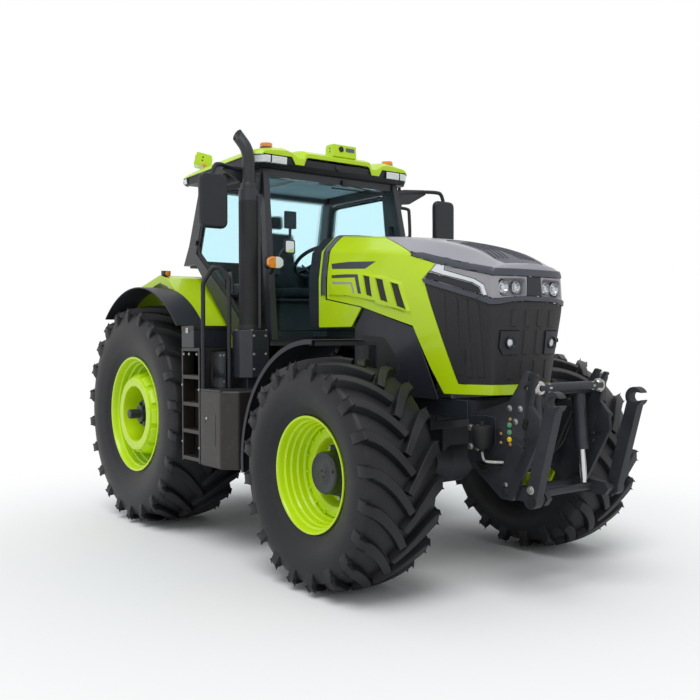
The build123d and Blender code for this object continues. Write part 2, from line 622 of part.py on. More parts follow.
def cab_side():
    """One side of the cab with the door's opening and the small window ahead of it."""
    front = [(screen_x(FLOOR_Z) + 45, FLOOR_Z + 4), (screen_x(CAB_TOP_Z) + 35, CAB_TOP_Z)]
    outline = [*WELL_LINE, *front, (300, CAB_TOP_Z), (150, 2480)]
    wall = side_plate(outline, (-CAB_WALL, 0))
    opening = side_plate(grown(DOOR_OUTLINE, DOOR_GAP), (-CAB_WALL - 5, 5))
    quarter = side_plate([(1322, 1760), (screen_x(1760) - 40, 1760),
                          (screen_x(CAB_TOP_Z - 360) - 40, CAB_TOP_Z - 360), (1300, CAB_TOP_Z - 360)], (-CAB_WALL - 5, 5))
    side = wall - opening - quarter
    for rise in HINGE_RISES:
        side += hinge_half(rise, -45)
    return in_side_plane(side)


def cab_frame():
    """Two sides joined by beams under the roof, under the windscreen and at the rear."""
    half = CAB_SILL_Y - 30
    header = mid_block((screen_x(CAB_TOP_Z) - 70, screen_x(CAB_TOP_Z) + 20), 660, (CAB_TOP_Z - 60, CAB_TOP_Z))
    tail = mid_block((330, 410), 660, (CAB_TOP_Z - 60, CAB_TOP_Z))
    sill = mid_block((FLOOR_FRONT_X - 60, FLOOR_FRONT_X + 20), half, (FLOOR_Z, CAB_SILL_Z))
    waist = mid_block((90, 150), 700, (2300, 2345))
    return both_sides(cab_side()) + header + tail + sill + waist


def cab_floor():
    """Floor, seat tunnel between the wheels, and the shelves over the wheel wells."""
    plate = mid_block((1000, FLOOR_FRONT_X), CAB_SILL_Y - 5, (FLOOR_Z - FLOOR_T, FLOOR_Z))
    tunnel = mid_block((60, 1000), TUNNEL_HALF_Y, (FLOOR_Z - FLOOR_T, FLOOR_Z))
    rear = mid_block((60, 90), TUNNEL_HALF_Y, (FLOOR_Z, 2300))
    wall_line = [(60, FLOOR_Z - FLOOR_T), *[(x, z - 0.5) for x, z in WELL_LINE[:3]],
                 (1040, FLOOR_Z - FLOOR_T)]
    wall = side_plate(wall_line, (TUNNEL_HALF_Y, TUNNEL_HALF_Y + 14))
    shelf_line = [(60, 2299.5), (290, 2299.5), (945, 1719.5), (1035, FLOOR_Z - 0.5), (1012, FLOOR_Z - 0.5),
                  (930, 1707), (280, 2280), (60, 2280)]
    shelf = side_plate(shelf_line, (TUNNEL_HALF_Y, SHELF_OUTER_Y))
    mounts = mid_block((900, 1000), 240, (GEARBOX_Z[1], FLOOR_Z - FLOOR_T))
    mounts += mid_block((150, 250), 240, (HOUSING_Z[1], FLOOR_Z - FLOOR_T))
    return plate + tunnel + rear + both_sides(wall + shelf) + mounts


def windscreen():
    low, high = CAB_SILL_Z + 5, CAB_TOP_Z - 62
    outline = [(screen_x(low), low), (screen_x(low) + GLASS_T, low),
               (screen_x(high) + GLASS_T, high), (screen_x(high), high)]
    pane = side_plate(outline, (-CAB_SILL_Y, CAB_SILL_Y))
    walls = both_sides(in_side_plane(block((0, 2000), (-CAB_WALL, 200), (1500, 3200))))
    return pane - walls


def rear_window():
    outline = [(118, 2346), (118 + GLASS_T, 2346), (345 + GLASS_T, CAB_TOP_Z - 62), (345, CAB_TOP_Z - 62)]
    pane = side_plate(outline, (-CAB_SILL_Y, CAB_SILL_Y))
    walls = both_sides(in_side_plane(block((0, 2000), (-CAB_WALL, 200), (1500, 3200))))
    return pane - walls


def door_left():
    """Glass door with a bonded frame, flush in its opening."""
    slab = side_plate(DOOR_OUTLINE, (-DOOR_T, 0))
    inner = grown(DOOR_OUTLINE, -40)
    pocket = side_plate(inner, (-DOOR_T - 5, -GLASS_T))
    door = slab - pocket
    for rise in HINGE_RISES:
        door += hinge_half(rise + HINGE_LENGTH + RUNNING_GAP, 55)
    return in_side_plane(door)


def cab_roof():
    outline = [(174, 62), (174, 92), (310, 152), (1060, 192), (1420, 168), (1452, 130), (1440, 92), (230, 62)]
    roof = side_plate([(x, CAB_TOP_Z + rise) for x, rise in outline], (-ROOF_HALF_Y, ROOF_HALF_Y))
    return roof & roof_plan(ROOF_HALF_Y)


def roof_plan(half):
    """Plan of the roof with its front corners cut, as a tall prism."""
    cut = 95
    front, rear = 1460, 150
    outline = [(rear, -half + 40), (rear + 60, -half), (front - cut - 30, -half), (front, -half + cut),
               (front, half - cut), (front - cut - 30, half), (rear + 60, half), (rear, half - 40)]
    return plan_plate(outline, (CAB_TOP_Z - 50, CAB_TOP_Z + 400))


def roof_fascia():
    """Black rim under the roof, which carries the lamp clusters."""
    outline = [(235, CAB_TOP_Z), (190, CAB_TOP_Z + 30), (231, CAB_TOP_Z + 61.8),
               (1440, CAB_TOP_Z + 91.8), (1425, CAB_TOP_Z + 40),
               (screen_x(CAB_TOP_Z) + 45, CAB_TOP_Z)]
    slab = side_plate(outline, (-ROOF_HALF_Y, ROOF_HALF_Y))
    return slab & roof_plan(ROOF_HALF_Y - 15)


# ---------------------------------------------------------------- inside the cab


def seat_base():
    pedestal = mid_block((SEAT_X - 150, SEAT_X + 170), 190, (FLOOR_Z, 1960))
    pan = mid_block((SEAT_X - 200, SEAT_X + 250), 230, (1960, 1985))
    arm = block((SEAT_X - 150, SEAT_X + 330), (-360, -275), (2180, 2230))
    post = block((SEAT_X - 120, SEAT_X - 50), (-340, -275), (1985, 2180))
    foot = block((SEAT_X - 150, SEAT_X - 20), (-340, -190), (1960, 1985))
    return pedestal + pan + arm + post + foot


def seat_cushions():
    """Cushion, backrest and headrest."""
    cushion = mid_block((SEAT_X - 200, SEAT_X + 270), 240, (1985.3, 2090))
    back = side_plate([(SEAT_X - 200, 2000), (SEAT_X - 200, 2090), (SEAT_X - 110, 2090),
                       (SEAT_X - 190, 2640), (SEAT_X - 290, 2640), (SEAT_X - 290, 2000)], (-230, 230))
    head = side_plate([(SEAT_X - 210, 2639), (SEAT_X - 220, 2800), (SEAT_X - 290, 2800),
                       (SEAT_X - 290, 2639)], (-130, 130))
    return cushion + back + head


def wheel_axis_point(distance):
    a = math.radians(WHEEL_TILT)
    return (WHEEL_CENTRE[0] + distance * math.sin(a), 0, WHEEL_CENTRE[1] - distance * math.cos(a))


def steering_wheel():
    centre = Vector(*wheel_axis_point(0))
    hub_plane = Plane(origin=centre, z_dir=Vector(*wheel_axis_point(-1)) - centre)
    ring = hub_plane.location * Torus(WHEEL_R, 16)
    hub = rod(wheel_axis_point(30), wheel_axis_point(-12), 50)
    spokes = None
    for angle in (90, 210, 330):
        spoke = hub_plane.location * (Rot(0, 0, angle) * (Pos(WHEEL_R / 2, 0, 0) * Box(WHEEL_R - 10, 26, 12)))
        spokes = spoke if spokes is None else spokes + spoke
    return ring + hub + spokes


def dashboard():
    """Steering console with its column, and the instrument pod ahead of the wheel."""
    console = side_plate([(1270, FLOOR_Z), (1480, FLOOR_Z), (1440, 2150), (1330, 2290), (1250, 2240),
                          (1230, 2100)], (-150, 150))
    column = rod(wheel_axis_point(30 + RUNNING_GAP), wheel_axis_point(190), 34)
    return console + column


# ---------------------------------------------------------------- rear fenders


def rear_fender_panels():
    """Coloured panels from the cab's side out to the black extensions."""
    top = [(-600, 1758), (-480, 1935), (-241, 2117), (150, 2200), (300, 2160), (831, 1782), (1025, 1480)]
    under = [(x, z - FENDER_T) for x, z in reversed(top)]
    sheet = side_plate([*top, *under], (TUNNEL_HALF_Y + 20, FENDER_SPLIT_Y))
    lip_under = [(x, z - 70) for x, z in reversed(top[2:6])]
    lip = side_plate([*top[2:6], *lip_under], (FENDER_SPLIT_Y - FENDER_T, FENDER_SPLIT_Y))
    tyre_space = lathe([(0, 500), (REAR_TYRE_R + 14, 500), (REAR_TYRE_R + 14, 1300), (0, 1300)],
                       (0, REAR_TYRE_R))
    stay = block(FENDER_STAY_X, (TUNNEL_HALF_Y, TUNNEL_HALF_Y + 12), (REAR_TYRE_R + 130.3, 2150))
    stay += block(FENDER_STAY_X, (TUNNEL_HALF_Y, TUNNEL_HALF_Y + 35), (2120, 2150))
    return both_sides(sheet + lip - tyre_space + stay)


def fender_extensions():
    """Black outer sheets with a turned-down lip, on the same centre as the tyre's arch."""
    sheet = arc_sheet(FENDER_CENTRE, FENDER_R - FENDER_T, FENDER_T, (FENDER_SPLIT_Y, FENDER_OUTER_Y),
                      FENDER_ANGLES)
    return both_sides(sheet)


# ---------------------------------------------------------------- sides


def tanks():
    outline = [(TANK_X[0], SIDE_OUTER_Y - LADDER_DEPTH), (LADDER_X[1], SIDE_OUTER_Y - LADDER_DEPTH),
               (LADDER_X[1], SIDE_OUTER_Y), (TANK_X[1] - TANK_CHAMFER, SIDE_OUTER_Y),
               (TANK_X[1], SIDE_OUTER_Y - TANK_CHAMFER), (TANK_X[1], TANK_INNER_Y), (TANK_X[0], TANK_INNER_Y)]
    tank = plan_plate(outline, TANK_Z)
    for x in (1100, 1560):
        tank += block((x, x + 80), (GEARBOX_HALF_Y, TANK_INNER_Y), (880, 980))
    return both_sides(tank)


def ladders():
    """Side plates, rungs and the step platform above the tank."""
    y = (SIDE_OUTER_Y - LADDER_DEPTH, SIDE_OUTER_Y)
    ladder = block((LADDER_X[0], LADDER_X[0] + LADDER_PLATE), y, (LADDER_BOTTOM_Z, LADDER_TOP_Z))
    ladder += block((LADDER_X[1] - LADDER_PLATE, LADDER_X[1]), y, (LADDER_BOTTOM_Z, LADDER_TOP_Z))
    pitch = (LADDER_TOP_Z - LADDER_BOTTOM_Z - 40) / RUNGS
    for step in range(RUNGS):
        z = LADDER_BOTTOM_Z + 10 + step * pitch
        ladder += block(LADDER_X, y, (z, z + 30))
    ladder += block(LADDER_X, (CAB_SILL_Y + 10, SIDE_OUTER_Y), (LADDER_TOP_Z - 25, LADDER_TOP_Z))
    ladder += block((LADDER_X[0] + 40, LADDER_X[1]), (CAB_SILL_Y + 40, CAB_SILL_Y + 60), (TANK_Z[1], LADDER_TOP_Z - 25))
    return both_sides(ladder)


def tool_boxes():
    box = block(TOOL_BOX_X, (CAB_SILL_Y + 120, SIDE_OUTER_Y - 5), (LADDER_TOP_Z, TOOL_BOX_TOP))
    return both_sides(box)


def handrails():
    """Hoop from the tank's top up beside the door and down to the platform's front."""
    points = [(1315, 1208, TANK_Z[1]), (1315, 1208, 2060), (1370, 1120, 2235), (1422, 1040, 2100),
              (1422, 1040, TANK_Z[1])]
    return both_sides(bent_tube(points, RAIL_TUBE_R, 60))


def exhaust():
    """Stack in its guard, standing on the cleaner's box, with a bent outlet."""
    x, y = EXHAUST_X, EXHAUST_Y
    guard = rod((x, y, EXHAUST_BOX_Z[1]), (x, y, EXHAUST_GUARD_TOP), EXHAUST_GUARD_R)
    pipe = bent_tube([(x, y, EXHAUST_GUARD_TOP - 40), (x, y, 3100), (x - 108, y - 62, 3262)],
                     EXHAUST_PIPE_R, 110)
    return guard + pipe


def exhaust_box():
    x, y, z = EXHAUST_BOX_X, EXHAUST_BOX_Y, EXHAUST_BOX_Z
    outline = [(x[0], y[0]), (x[0], y[1]), (x[1], y[1]), (x[1], y[0] + 70), (x[1] - 70, y[0])]
    case = plan_plate(outline, z)
    leg = block((x[0] + 40, x[1] - 60), (y[0] + 60, y[1] - 60), (TANK_Z[1], z[0]))
    return case + leg


def mirrors():
    """Head and cranked arm on each front pillar."""
    head = block((MIRROR_X - MIRROR_T / 2, MIRROR_X + MIRROR_T / 2), MIRROR_Y, MIRROR_Z)
    arm_z = MIRROR_Z[1] + 75
    behind = EXHAUST_X - EXHAUST_PIPE_R - 46
    arm = bent_tube([(behind - 5, 680, arm_z - 50), (behind, 980, arm_z), (MIRROR_X - 10, 1110, arm_z),
                     (MIRROR_X, 1190, MIRROR_Z[1] - 20)], 20, 40)
    wall = in_side_plane(block((0, 2000), (-CAB_WALL, 0.0), (1500, 3200)))
    return both_sides(head + (arm - wall))


def roof_cameras():
    front = mid_block((1325, 1446), 125, (CAB_TOP_Z + 155, CAB_TOP_Z + 285))
    rear = block((250, 560), (-800, -640), (CAB_TOP_Z + 155, CAB_TOP_Z + 325))
    return (front + rear) - cab_roof()


def beacons():
    lamp = rod((1328, 635, CAB_TOP_Z + 150), (1328, 635, CAB_TOP_Z + 262), 50)
    return both_sides(lamp) - cab_roof()


def indicator_lamps():
    """Lamp pods on stalks ahead of the front pillars, with a small wide-angle mirror."""
    stalk = rod((screen_x(2150) + 38, 735, 2150), (1680, 800, 2200), 16)
    pod = block((1660, 1730), (730, 880), (2175, 2255))
    mirror_arm = rod((1690, 760, 2250), (1690, 690, 2300), 9)
    glass = block((1675, 1700), (615, 705), (2290, 2400))
    wall = in_side_plane(block((0, 2000), (-CAB_WALL, 0.0), (1500, 3200)))
    return both_sides((stalk - wall) + pod + mirror_arm + glass)


# ---------------------------------------------------------------- front linkage

#   distance ahead of the rails' front end, height
PLATE_OUTLINE = tuple((RAIL_X[1] + x, z) for x, z in (
    (0, 1145), (240, 1209), (350, 1247), (480, 1435), (570, 1411), (591, 1043), (370, 632), (280, 632), (0, 831)))


def front_linkage_frame():
    """Two side plates with their cross plates; the rails end between them."""
    px, pz = ROCKER_PIN
    plate = side_plate(PLATE_OUTLINE, PLATE_Y)
    plate -= cross_rod(px, pz, (PLATE_Y[0] - 5, PLATE_Y[1] + 5), LINK_PIN_R + 5 + PIN_FIT)
    head = mid_block((RAIL_X[1], RAIL_X[1] + 30), PLATE_Y[0], (860, 1140))
    neck = mid_block((RAIL_X[1], RAIL_X[1] + 30), PLATE_Y[1], (RAIL_Z[0], RAIL_Z[1]))
    cross = mid_block((RAIL_X[1] + 250, RAIL_X[1] + 280), PLATE_Y[0], (1040, 1180))
    tube = cross_rod(RAIL_X[1] + 160, 815, (-PLATE_Y[0], PLATE_Y[0]), 45)
    beam = mid_block((LIFT_TOP[0] - 30, LIFT_TOP[0] + 30), PLATE_Y[0],
                     (LIFT_TOP[1] + LIFT_TILT_ROOM, LIFT_TOP[1] + 40))
    return both_sides(plate) + head + neck + cross + tube + beam


def along(start, end, distance):
    """Point at a distance from start towards end, both (x, z)."""
    run = math.hypot(end[0] - start[0], end[1] - start[1])
    return (start[0] + (end[0] - start[0]) * distance / run,
            start[1] + (end[1] - start[1]) * distance / run)


def front_lift_barrels():
    top = LIFT_TOP
    end = along(top, LIFT_PIN, LIFT_BARREL_LENGTH)
    barrel = rod((top[0], LIFT_Y, top[1]), (end[0], LIFT_Y, end[1]), LIFT_BARREL_R)
    start = along(top, LIFT_PIN, 60)
    bore = rod((start[0], LIFT_Y, start[1]), (end[0] + 1, LIFT_Y, end[1] - 12), LIFT_ROD_R + PIN_FIT)
    return both_sides(barrel - bore)


def front_lift_rods():
    top = LIFT_TOP
    start = along(top, LIFT_PIN, 190)
    length = math.hypot(LIFT_PIN[0] - top[0], LIFT_PIN[1] - top[1])
    end = along(top, LIFT_PIN, length - 28)
    return both_sides(rod((start[0], LIFT_Y, start[1]), (end[0], LIFT_Y, end[1]), LIFT_ROD_R))


def front_rocker():
    """Cross shaft with two arms, the lift rods' bar and the pins of the folding links."""
    px, pz = ROCKER_PIN
    lx, lz = LINK_PIN
    shaft = cross_rod(px, pz, (-PLATE_Y[1] - 2, PLATE_Y[1] + 2), LINK_PIN_R + 5)
    arm = side_plate([(px - 42, pz - 20), (px - 42, pz + 20), (px, pz + 48), (lx + 10, lz + 42),
                      (lx + 40, lz), (lx + 10, lz - 42), (px, pz - 44)], ROCKER_ARM_Y)
    bar = cross_rod(LIFT_PIN[0], LIFT_PIN[1], (-ROCKER_ARM_Y[1], ROCKER_ARM_Y[1]), 24)
    pin = cross_rod(lx, lz, (ROCKER_ARM_Y[0], LINK_Y[1] + 8), LINK_PIN_R)
    return shaft + both_sides(arm) + bar + both_sides(pin)


def front_link_left():
    """Lower link, folded up, with an eye at its pin and a hook at its end."""
    lx, lz = LINK_PIN
    hx, hz = HOOK_PIN
    run = math.hypot(hx - lx, hz - lz)
    nx, nz = (hz - lz) / run * LINK_WIDTH / 2, -(hx - lx) / run * LINK_WIDTH / 2
    bar = side_plate([(lx + nx, lz + nz), (hx + nx, hz + nz), (hx - nx, hz - nz), (lx - nx, lz - nz)], LINK_Y)
    eye = cross_rod(lx, lz, LINK_Y, LINK_WIDTH / 2 + 8)
    claw = cross_rod(hx, hz, LINK_Y, HOOK_R)
    link = bar + eye + claw
    link -= cross_rod(lx, lz, (LINK_Y[0] - 5, LINK_Y[1] + 5), LINK_PIN_R + PIN_FIT)
    link -= cross_rod(hx, hz, (LINK_Y[0] - 5, LINK_Y[1] + 5), HOOK_BORE_R)
    mouth = side_plate([(hx, hz - HOOK_BORE_R), (hx + 90, hz - HOOK_BORE_R + 20), (hx + 90, hz + HOOK_BORE_R - 10),
                        (hx, hz + HOOK_BORE_R)], (LINK_Y[0] - 5, LINK_Y[1] + 5))
    return link - mouth


def front_top_link():
    x, z = TOP_LINK_STORE
    return cross_rod(x, z, (-PLATE_Y[0] + 0.3, PLATE_Y[0] - 0.3), 30)


# ---------------------------------------------------------------- rear linkage


def rear_lift_arms():
    px, pz = REAR_ARM_PIVOT
    shaft = cross_rod(px, pz, (-REAR_ARM_Y[1], REAR_ARM_Y[1]), 34)
    arm = side_plate([(px + 40, pz - 30), (px + 40, pz + 30), (px, pz + 48), (px - REAR_CRANK, pz + 30),
                      (px - REAR_CRANK - 30, pz), (px - REAR_CRANK, pz - 30), (px, pz - 48)], REAR_ARM_Y)
    pin = cross_rod(px - REAR_CRANK, pz, (REAR_ARM_Y[0], REAR_ARM_Y[1] + 46), 14)
    return shaft + both_sides(arm) + both_sides(pin)


def rear_lift_rods():
    """Turnbuckle rods beside the arms' tips and above the lower links' pins."""
    x = REAR_ARM_PIVOT[0] - REAR_CRANK
    y = (REAR_ARM_Y[1] + 8, REAR_ARM_Y[1] + 40)
    mid_y = sum(y) / 2
    top, low = REAR_ARM_PIVOT[1], REAR_LINK_PIVOT[1]
    crown = (low + 64, low + 78)
    bar = rod((x, mid_y, crown[0] + 2), (x, mid_y, top), 15)
    eye = cross_rod(x, top, y, 30)
    fork = block((x - 18, x + 18), (REAR_LINK_Y[0] - 18, REAR_LINK_Y[1] + 18), crown)
    for cheek in ((REAR_LINK_Y[0] - 18, REAR_LINK_Y[0] - SIDE_PLAY), (REAR_LINK_Y[1] + SIDE_PLAY, REAR_LINK_Y[1] + 18)):
        fork += block((x - 18, x + 18), cheek, (low - 22, crown[0]))
    rods = bar + eye + fork
    rods -= cross_rod(x, top, (y[0] - 5, y[1] + 5), 14 + PIN_FIT)
    rods -= cross_rod(x, low, (REAR_LINK_Y[0] - 30, REAR_LINK_Y[1] + 30), 12 + PIN_FIT)
    return both_sides(rods)


def rear_lower_links():
    qx, qz = REAR_LINK_PIVOT
    end = qx - REAR_LINK_LENGTH
    link = side_plate([(qx, qz - 35), (qx, qz + 35), (end, qz + 28), (end, qz - 28)], REAR_LINK_Y)
    link += cross_rod(qx, qz, REAR_LINK_Y, 38) + cross_rod(end, qz, REAR_LINK_Y, REAR_EYE_R)
    link -= cross_rod(qx, qz, (REAR_LINK_Y[0] - 5, REAR_LINK_Y[1] + 5), 18 + PIN_FIT)
    link -= cross_rod(end, qz, (REAR_LINK_Y[0] - 5, REAR_LINK_Y[1] + 5), REAR_BALL_HOLE_R)
    pin_x = qx - REAR_CRANK
    link += cross_rod(pin_x, qz, (REAR_LINK_Y[0] - 20, REAR_LINK_Y[1] + 20), 12)
    return both_sides(link)


def rear_top_link():
    """Turnbuckle folded up against the housing, on a pin between two lugs."""
    x, z = TOP_LINK_PIVOT
    tube = rod((x, 0, z + 20), (x, 0, z + TOP_LINK_LENGTH - 20), 24)
    eyes = cross_rod(x, z, (-22, 22), 36) + cross_rod(x, z + TOP_LINK_LENGTH, (-22, 22), 34)
    holes = cross_rod(x, z, (-30, 30), 13 + PIN_FIT) + cross_rod(x, z + TOP_LINK_LENGTH, (-30, 30), 13)
    return tube + eyes - holes


def rear_hitch():
    """Top link bracket, power take-off stub with its guard, and the drawbar in its hanger."""
    x, z = TOP_LINK_PIVOT
    rear = HOUSING_X[0]
    lug = side_plate([(rear, z - 60), (rear, z + 60), (x - 10, z + 32), (x - 30, z), (x - 10, z - 32)],
                     (22 + SIDE_PLAY, 46))
    hitch = both_sides(lug) + cross_rod(x, z, (-46, 46), 13)
    hitch += rod((rear, 0, PTO_Z), (rear - 20, 0, PTO_Z), 60)
    hitch += rod((rear - 20, 0, PTO_Z), (rear - 20 - PTO_LENGTH, 0, PTO_Z), PTO_R)
    hitch += mid_block((rear - 130, rear), 110, (PTO_Z + 70, PTO_Z + 78))
    bar = mid_block((DRAWBAR_END_X, HOUSING_X[1]), 50, DRAWBAR_Z)
    hole_x = DRAWBAR_END_X + 45
    hole = rod((hole_x, 0, DRAWBAR_Z[0] - 5), (hole_x, 0, DRAWBAR_Z[1] + 5), DRAWBAR_HOLE_R)
    hanger = both_sides(block((rear, rear + 60), (50, 80), (DRAWBAR_Z[0], HOUSING_Z[0])))
    front_hanger = both_sides(block((HOUSING_X[1] - 80, HOUSING_X[1] - 20), (50, 80), (DRAWBAR_Z[0], HOUSING_Z[0])))
    return hitch + (bar - hole) + hanger + front_hanger


# ---------------------------------------------------------------- write every piece

PIECES = {
    "engine_block": engine_block(),
    "radiator": radiator(),
    "front_frame": front_frame(),
    "gearbox": gearbox(),
    "rear_axle_housing": rear_axle_housing(),
    "front_axle": front_axle(),
    "tie_rod": tie_rod(),
    **hood_pieces(),
    "cowl": cowl(),
    "side_panels": side_panels(),
    "cab_frame": cab_frame(),
    "cab_floor": cab_floor(),
    "cab_windows": windscreen() + rear_window(),
    "cab_roof": cab_roof(),
    "roof_fascia": roof_fascia(),
    "seat_base": seat_base(),
    "seat_cushions": seat_cushions(),
    "steering_wheel": steering_wheel(),
    "dashboard": dashboard(),
    "rear_fender_panels": rear_fender_panels(),
    "fender_extensions": fender_extensions(),
    "tanks": tanks(),
    "ladders": ladders(),
    "handrails": handrails(),
    "exhaust": exhaust(),
    "side_boxes": tool_boxes() + exhaust_box(),
    "mirrors": mirrors(),
    "roof_cameras": roof_cameras(),
    "beacons": beacons(),
    "indicator_lamps": indicator_lamps(),
    "front_linkage_frame": front_linkage_frame() + front_top_link(),
    "front_lift_barrels": front_lift_barrels(),
    "front_lift_rods": front_lift_rods(),
    "front_rocker": front_rocker(),
    "rear_lift_arms": rear_lift_arms(),
    "rear_lift_rods": rear_lift_rods(),
    "rear_lower_links": rear_lower_links(),
    "rear_top_link": rear_top_link(),
    "rear_hitch": rear_hitch(),
}
for name, shape in PIECES.items():
    write(name, shape)

LEFT_PIECES = {
    "front_tyre": tyre((WHEELBASE, FRONT_HALF_TRACK, FRONT_TYRE_R), FRONT_TYRE_R, FRONT_TYRE_W,
                       FRONT_RIM_R, FRONT_RIM_W),
    "front_wheel": front_wheel_left(),
    "rear_tyre": tyre((0, REAR_HALF_TRACK, REAR_TYRE_R), REAR_TYRE_R, REAR_TYRE_W, REAR_RIM_R, REAR_RIM_W),
    "rear_wheel": rear_wheel_left(),
    "knuckle": knuckle_left(),
    "front_fender": front_fender_left(),
    "door": door_left(),
    "front_link": front_link_left(),
}
for name, shape in LEFT_PIECES.items():
    write(name + "_left", shape)
    write(name + "_right", mirror(shape, about=Plane.XZ))
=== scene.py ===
import bmesh
import bpy
import math
from mathutils import Matrix, Vector


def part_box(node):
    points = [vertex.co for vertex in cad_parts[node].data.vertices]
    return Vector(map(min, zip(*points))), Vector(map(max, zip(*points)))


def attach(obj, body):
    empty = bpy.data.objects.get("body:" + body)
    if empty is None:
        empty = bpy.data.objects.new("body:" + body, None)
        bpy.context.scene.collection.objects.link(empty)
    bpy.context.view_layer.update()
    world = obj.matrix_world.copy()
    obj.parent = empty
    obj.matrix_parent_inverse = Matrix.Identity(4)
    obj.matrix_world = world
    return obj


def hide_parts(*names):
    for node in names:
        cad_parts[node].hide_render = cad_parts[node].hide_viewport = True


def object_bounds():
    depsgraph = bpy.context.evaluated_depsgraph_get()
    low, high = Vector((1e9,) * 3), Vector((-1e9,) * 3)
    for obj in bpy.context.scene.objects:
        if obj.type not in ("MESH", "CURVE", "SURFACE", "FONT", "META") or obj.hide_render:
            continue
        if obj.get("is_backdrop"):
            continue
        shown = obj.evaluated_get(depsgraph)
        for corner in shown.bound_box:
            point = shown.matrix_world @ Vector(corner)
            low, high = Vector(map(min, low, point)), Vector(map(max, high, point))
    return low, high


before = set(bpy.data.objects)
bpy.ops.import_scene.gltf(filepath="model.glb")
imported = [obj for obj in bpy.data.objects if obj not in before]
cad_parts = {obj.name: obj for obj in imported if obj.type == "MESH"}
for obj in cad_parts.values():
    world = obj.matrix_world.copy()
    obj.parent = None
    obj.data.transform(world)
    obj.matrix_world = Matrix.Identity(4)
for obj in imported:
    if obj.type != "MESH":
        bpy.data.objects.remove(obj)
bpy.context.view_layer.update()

# ---------------------------------------------------------------- daylight, floor and camera
# Overcast daylight from a pale sky, on a plain white floor that keeps the tractor's shadow.
# Lengths are in metres; x is measured from the rear axle, z from the ground.
rear_low, rear_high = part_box("rear_tyre_left")
AXLE_X = (rear_low.x + rear_high.x) / 2
SKY_LEVEL = 0.62
SUN_LEVEL = 1.35
FLOOR_SIZE = 60.0


def at(x, y, z):
    """A point given from the rear axle, in the part's own frame."""
    return Vector((x + AXLE_X, y, z))


def wired(tree, made, inputs):
    """The node with its inputs set, each to a value or to another node's output."""
    for socket, value in inputs.items():
        if isinstance(value, bpy.types.NodeSocket):
            tree.links.new(value, made.inputs[socket])
        else:
            made.inputs[socket].default_value = value
    return made


def node(tree, kind, inputs=None, **settings):
    """New node with its settings and inputs."""
    made = tree.nodes.new(kind)
    for name, value in settings.items():
        setattr(made, name, value)
    return wired(tree, made, inputs or {})


def new_material(name):
    """New material with its shader, and the tree that holds it."""
    made = bpy.data.materials.new(name)
    made.use_nodes = True
    return made, made.node_tree


def placed(name, data):
    """New object of a mesh, curve, light or camera, in the scene."""
    made = bpy.data.objects.new(name, data)
    scene.collection.objects.link(made)
    return made


def shown_directly(tree):
    """1 where a surface is looked at straight, in a mirror or through glass, and 0 where it lights."""
    path = node(tree, "ShaderNodeLightPath").outputs
    straight = node(tree, "ShaderNodeMath", {0: path["Is Camera Ray"], 1: path["Is Transmission Ray"]},
                    operation="MAXIMUM")
    return node(tree, "ShaderNodeMath", {0: straight.outputs[0], 1: path["Is Glossy Ray"]},
                operation="MAXIMUM").outputs[0]


scene = bpy.context.scene
scene.view_settings.view_transform = "Standard"
scene.world = bpy.data.worlds.new("overcast_sky")
scene.world.use_nodes = True
tree = scene.world.node_tree
tree.nodes.clear()
sky = node(tree, "ShaderNodeBackground", {"Color": (0.93, 0.97, 1.0, 1), "Strength": SKY_LEVEL})
white = node(tree, "ShaderNodeBackground", {"Color": (1, 1, 1, 1), "Strength": 1.0})
either = node(tree, "ShaderNodeMixShader", {"Fac": shown_directly(tree), 1: sky.outputs[0], 2: white.outputs[0]})
node(tree, "ShaderNodeOutputWorld", {"Surface": either.outputs[0]})
sun_data = bpy.data.lights.new("soft_sun", "SUN")
sun_data.energy = SUN_LEVEL
sun_data.angle = math.radians(35)
sun = placed("soft_sun", sun_data)
sun.rotation_euler = Vector((0.28, -0.38, 0.88)).to_track_quat("Z", "Y").to_euler()
floor_mesh = bpy.data.meshes.new("studio_floor")
half = FLOOR_SIZE / 2
floor_mesh.from_pydata([(-half, -half, 0), (half, -half, 0), (half, half, 0), (-half, half, 0)], [], [(0, 1, 2, 3)])
floor = placed("studio_floor", floor_mesh)
pale, tree = new_material("pale_floor")
matt = wired(tree, tree.nodes["Principled BSDF"],
             {"Base Color": (0.93, 0.93, 0.93, 1), "Roughness": 0.9, "Specular IOR Level": 0.0})
# away from the tractor the floor fades to the white of the backdrop
reach = node(tree, "ShaderNodeVectorMath", {0: node(tree, "ShaderNodeTexCoord").outputs["Object"]}, operation="LENGTH")
spread = node(tree, "ShaderNodeMapRange", {"From Min": 1.6, "From Max": 5.2, "Value": reach.outputs["Value"]},
              interpolation_type="SMOOTHSTEP")
fade = node(tree, "ShaderNodeMath", {0: spread.outputs["Result"], 1: shown_directly(tree)}, operation="MULTIPLY")
glow = node(tree, "ShaderNodeEmission")
either = node(tree, "ShaderNodeMixShader", {"Fac": fade.outputs[0], 1: matt.outputs[0], 2: glow.outputs[0]})
wired(tree, tree.nodes["Material Output"], {"Surface": either.outputs[0]})
floor.data.materials.append(pale)
floor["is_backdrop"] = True

# the lens stands ahead of the right front corner, at the height of the tyres' tops
CAMERA_AT = at(7.358, -4.387, 1.642)
CAMERA_TURN, CAMERA_TILT, CAMERA_ROLL = math.radians(37.27), math.radians(-0.83), math.radians(-0.21)
camera_data = bpy.data.cameras.new("view")
camera_data.lens = 44.99
camera_data.sensor_width = 36
camera_data.clip_end = 200
camera = placed("view", camera_data)
ahead = Vector((-math.cos(CAMERA_TURN) * math.cos(CAMERA_TILT),
                math.sin(CAMERA_TURN) * math.cos(CAMERA_TILT), math.sin(CAMERA_TILT)))
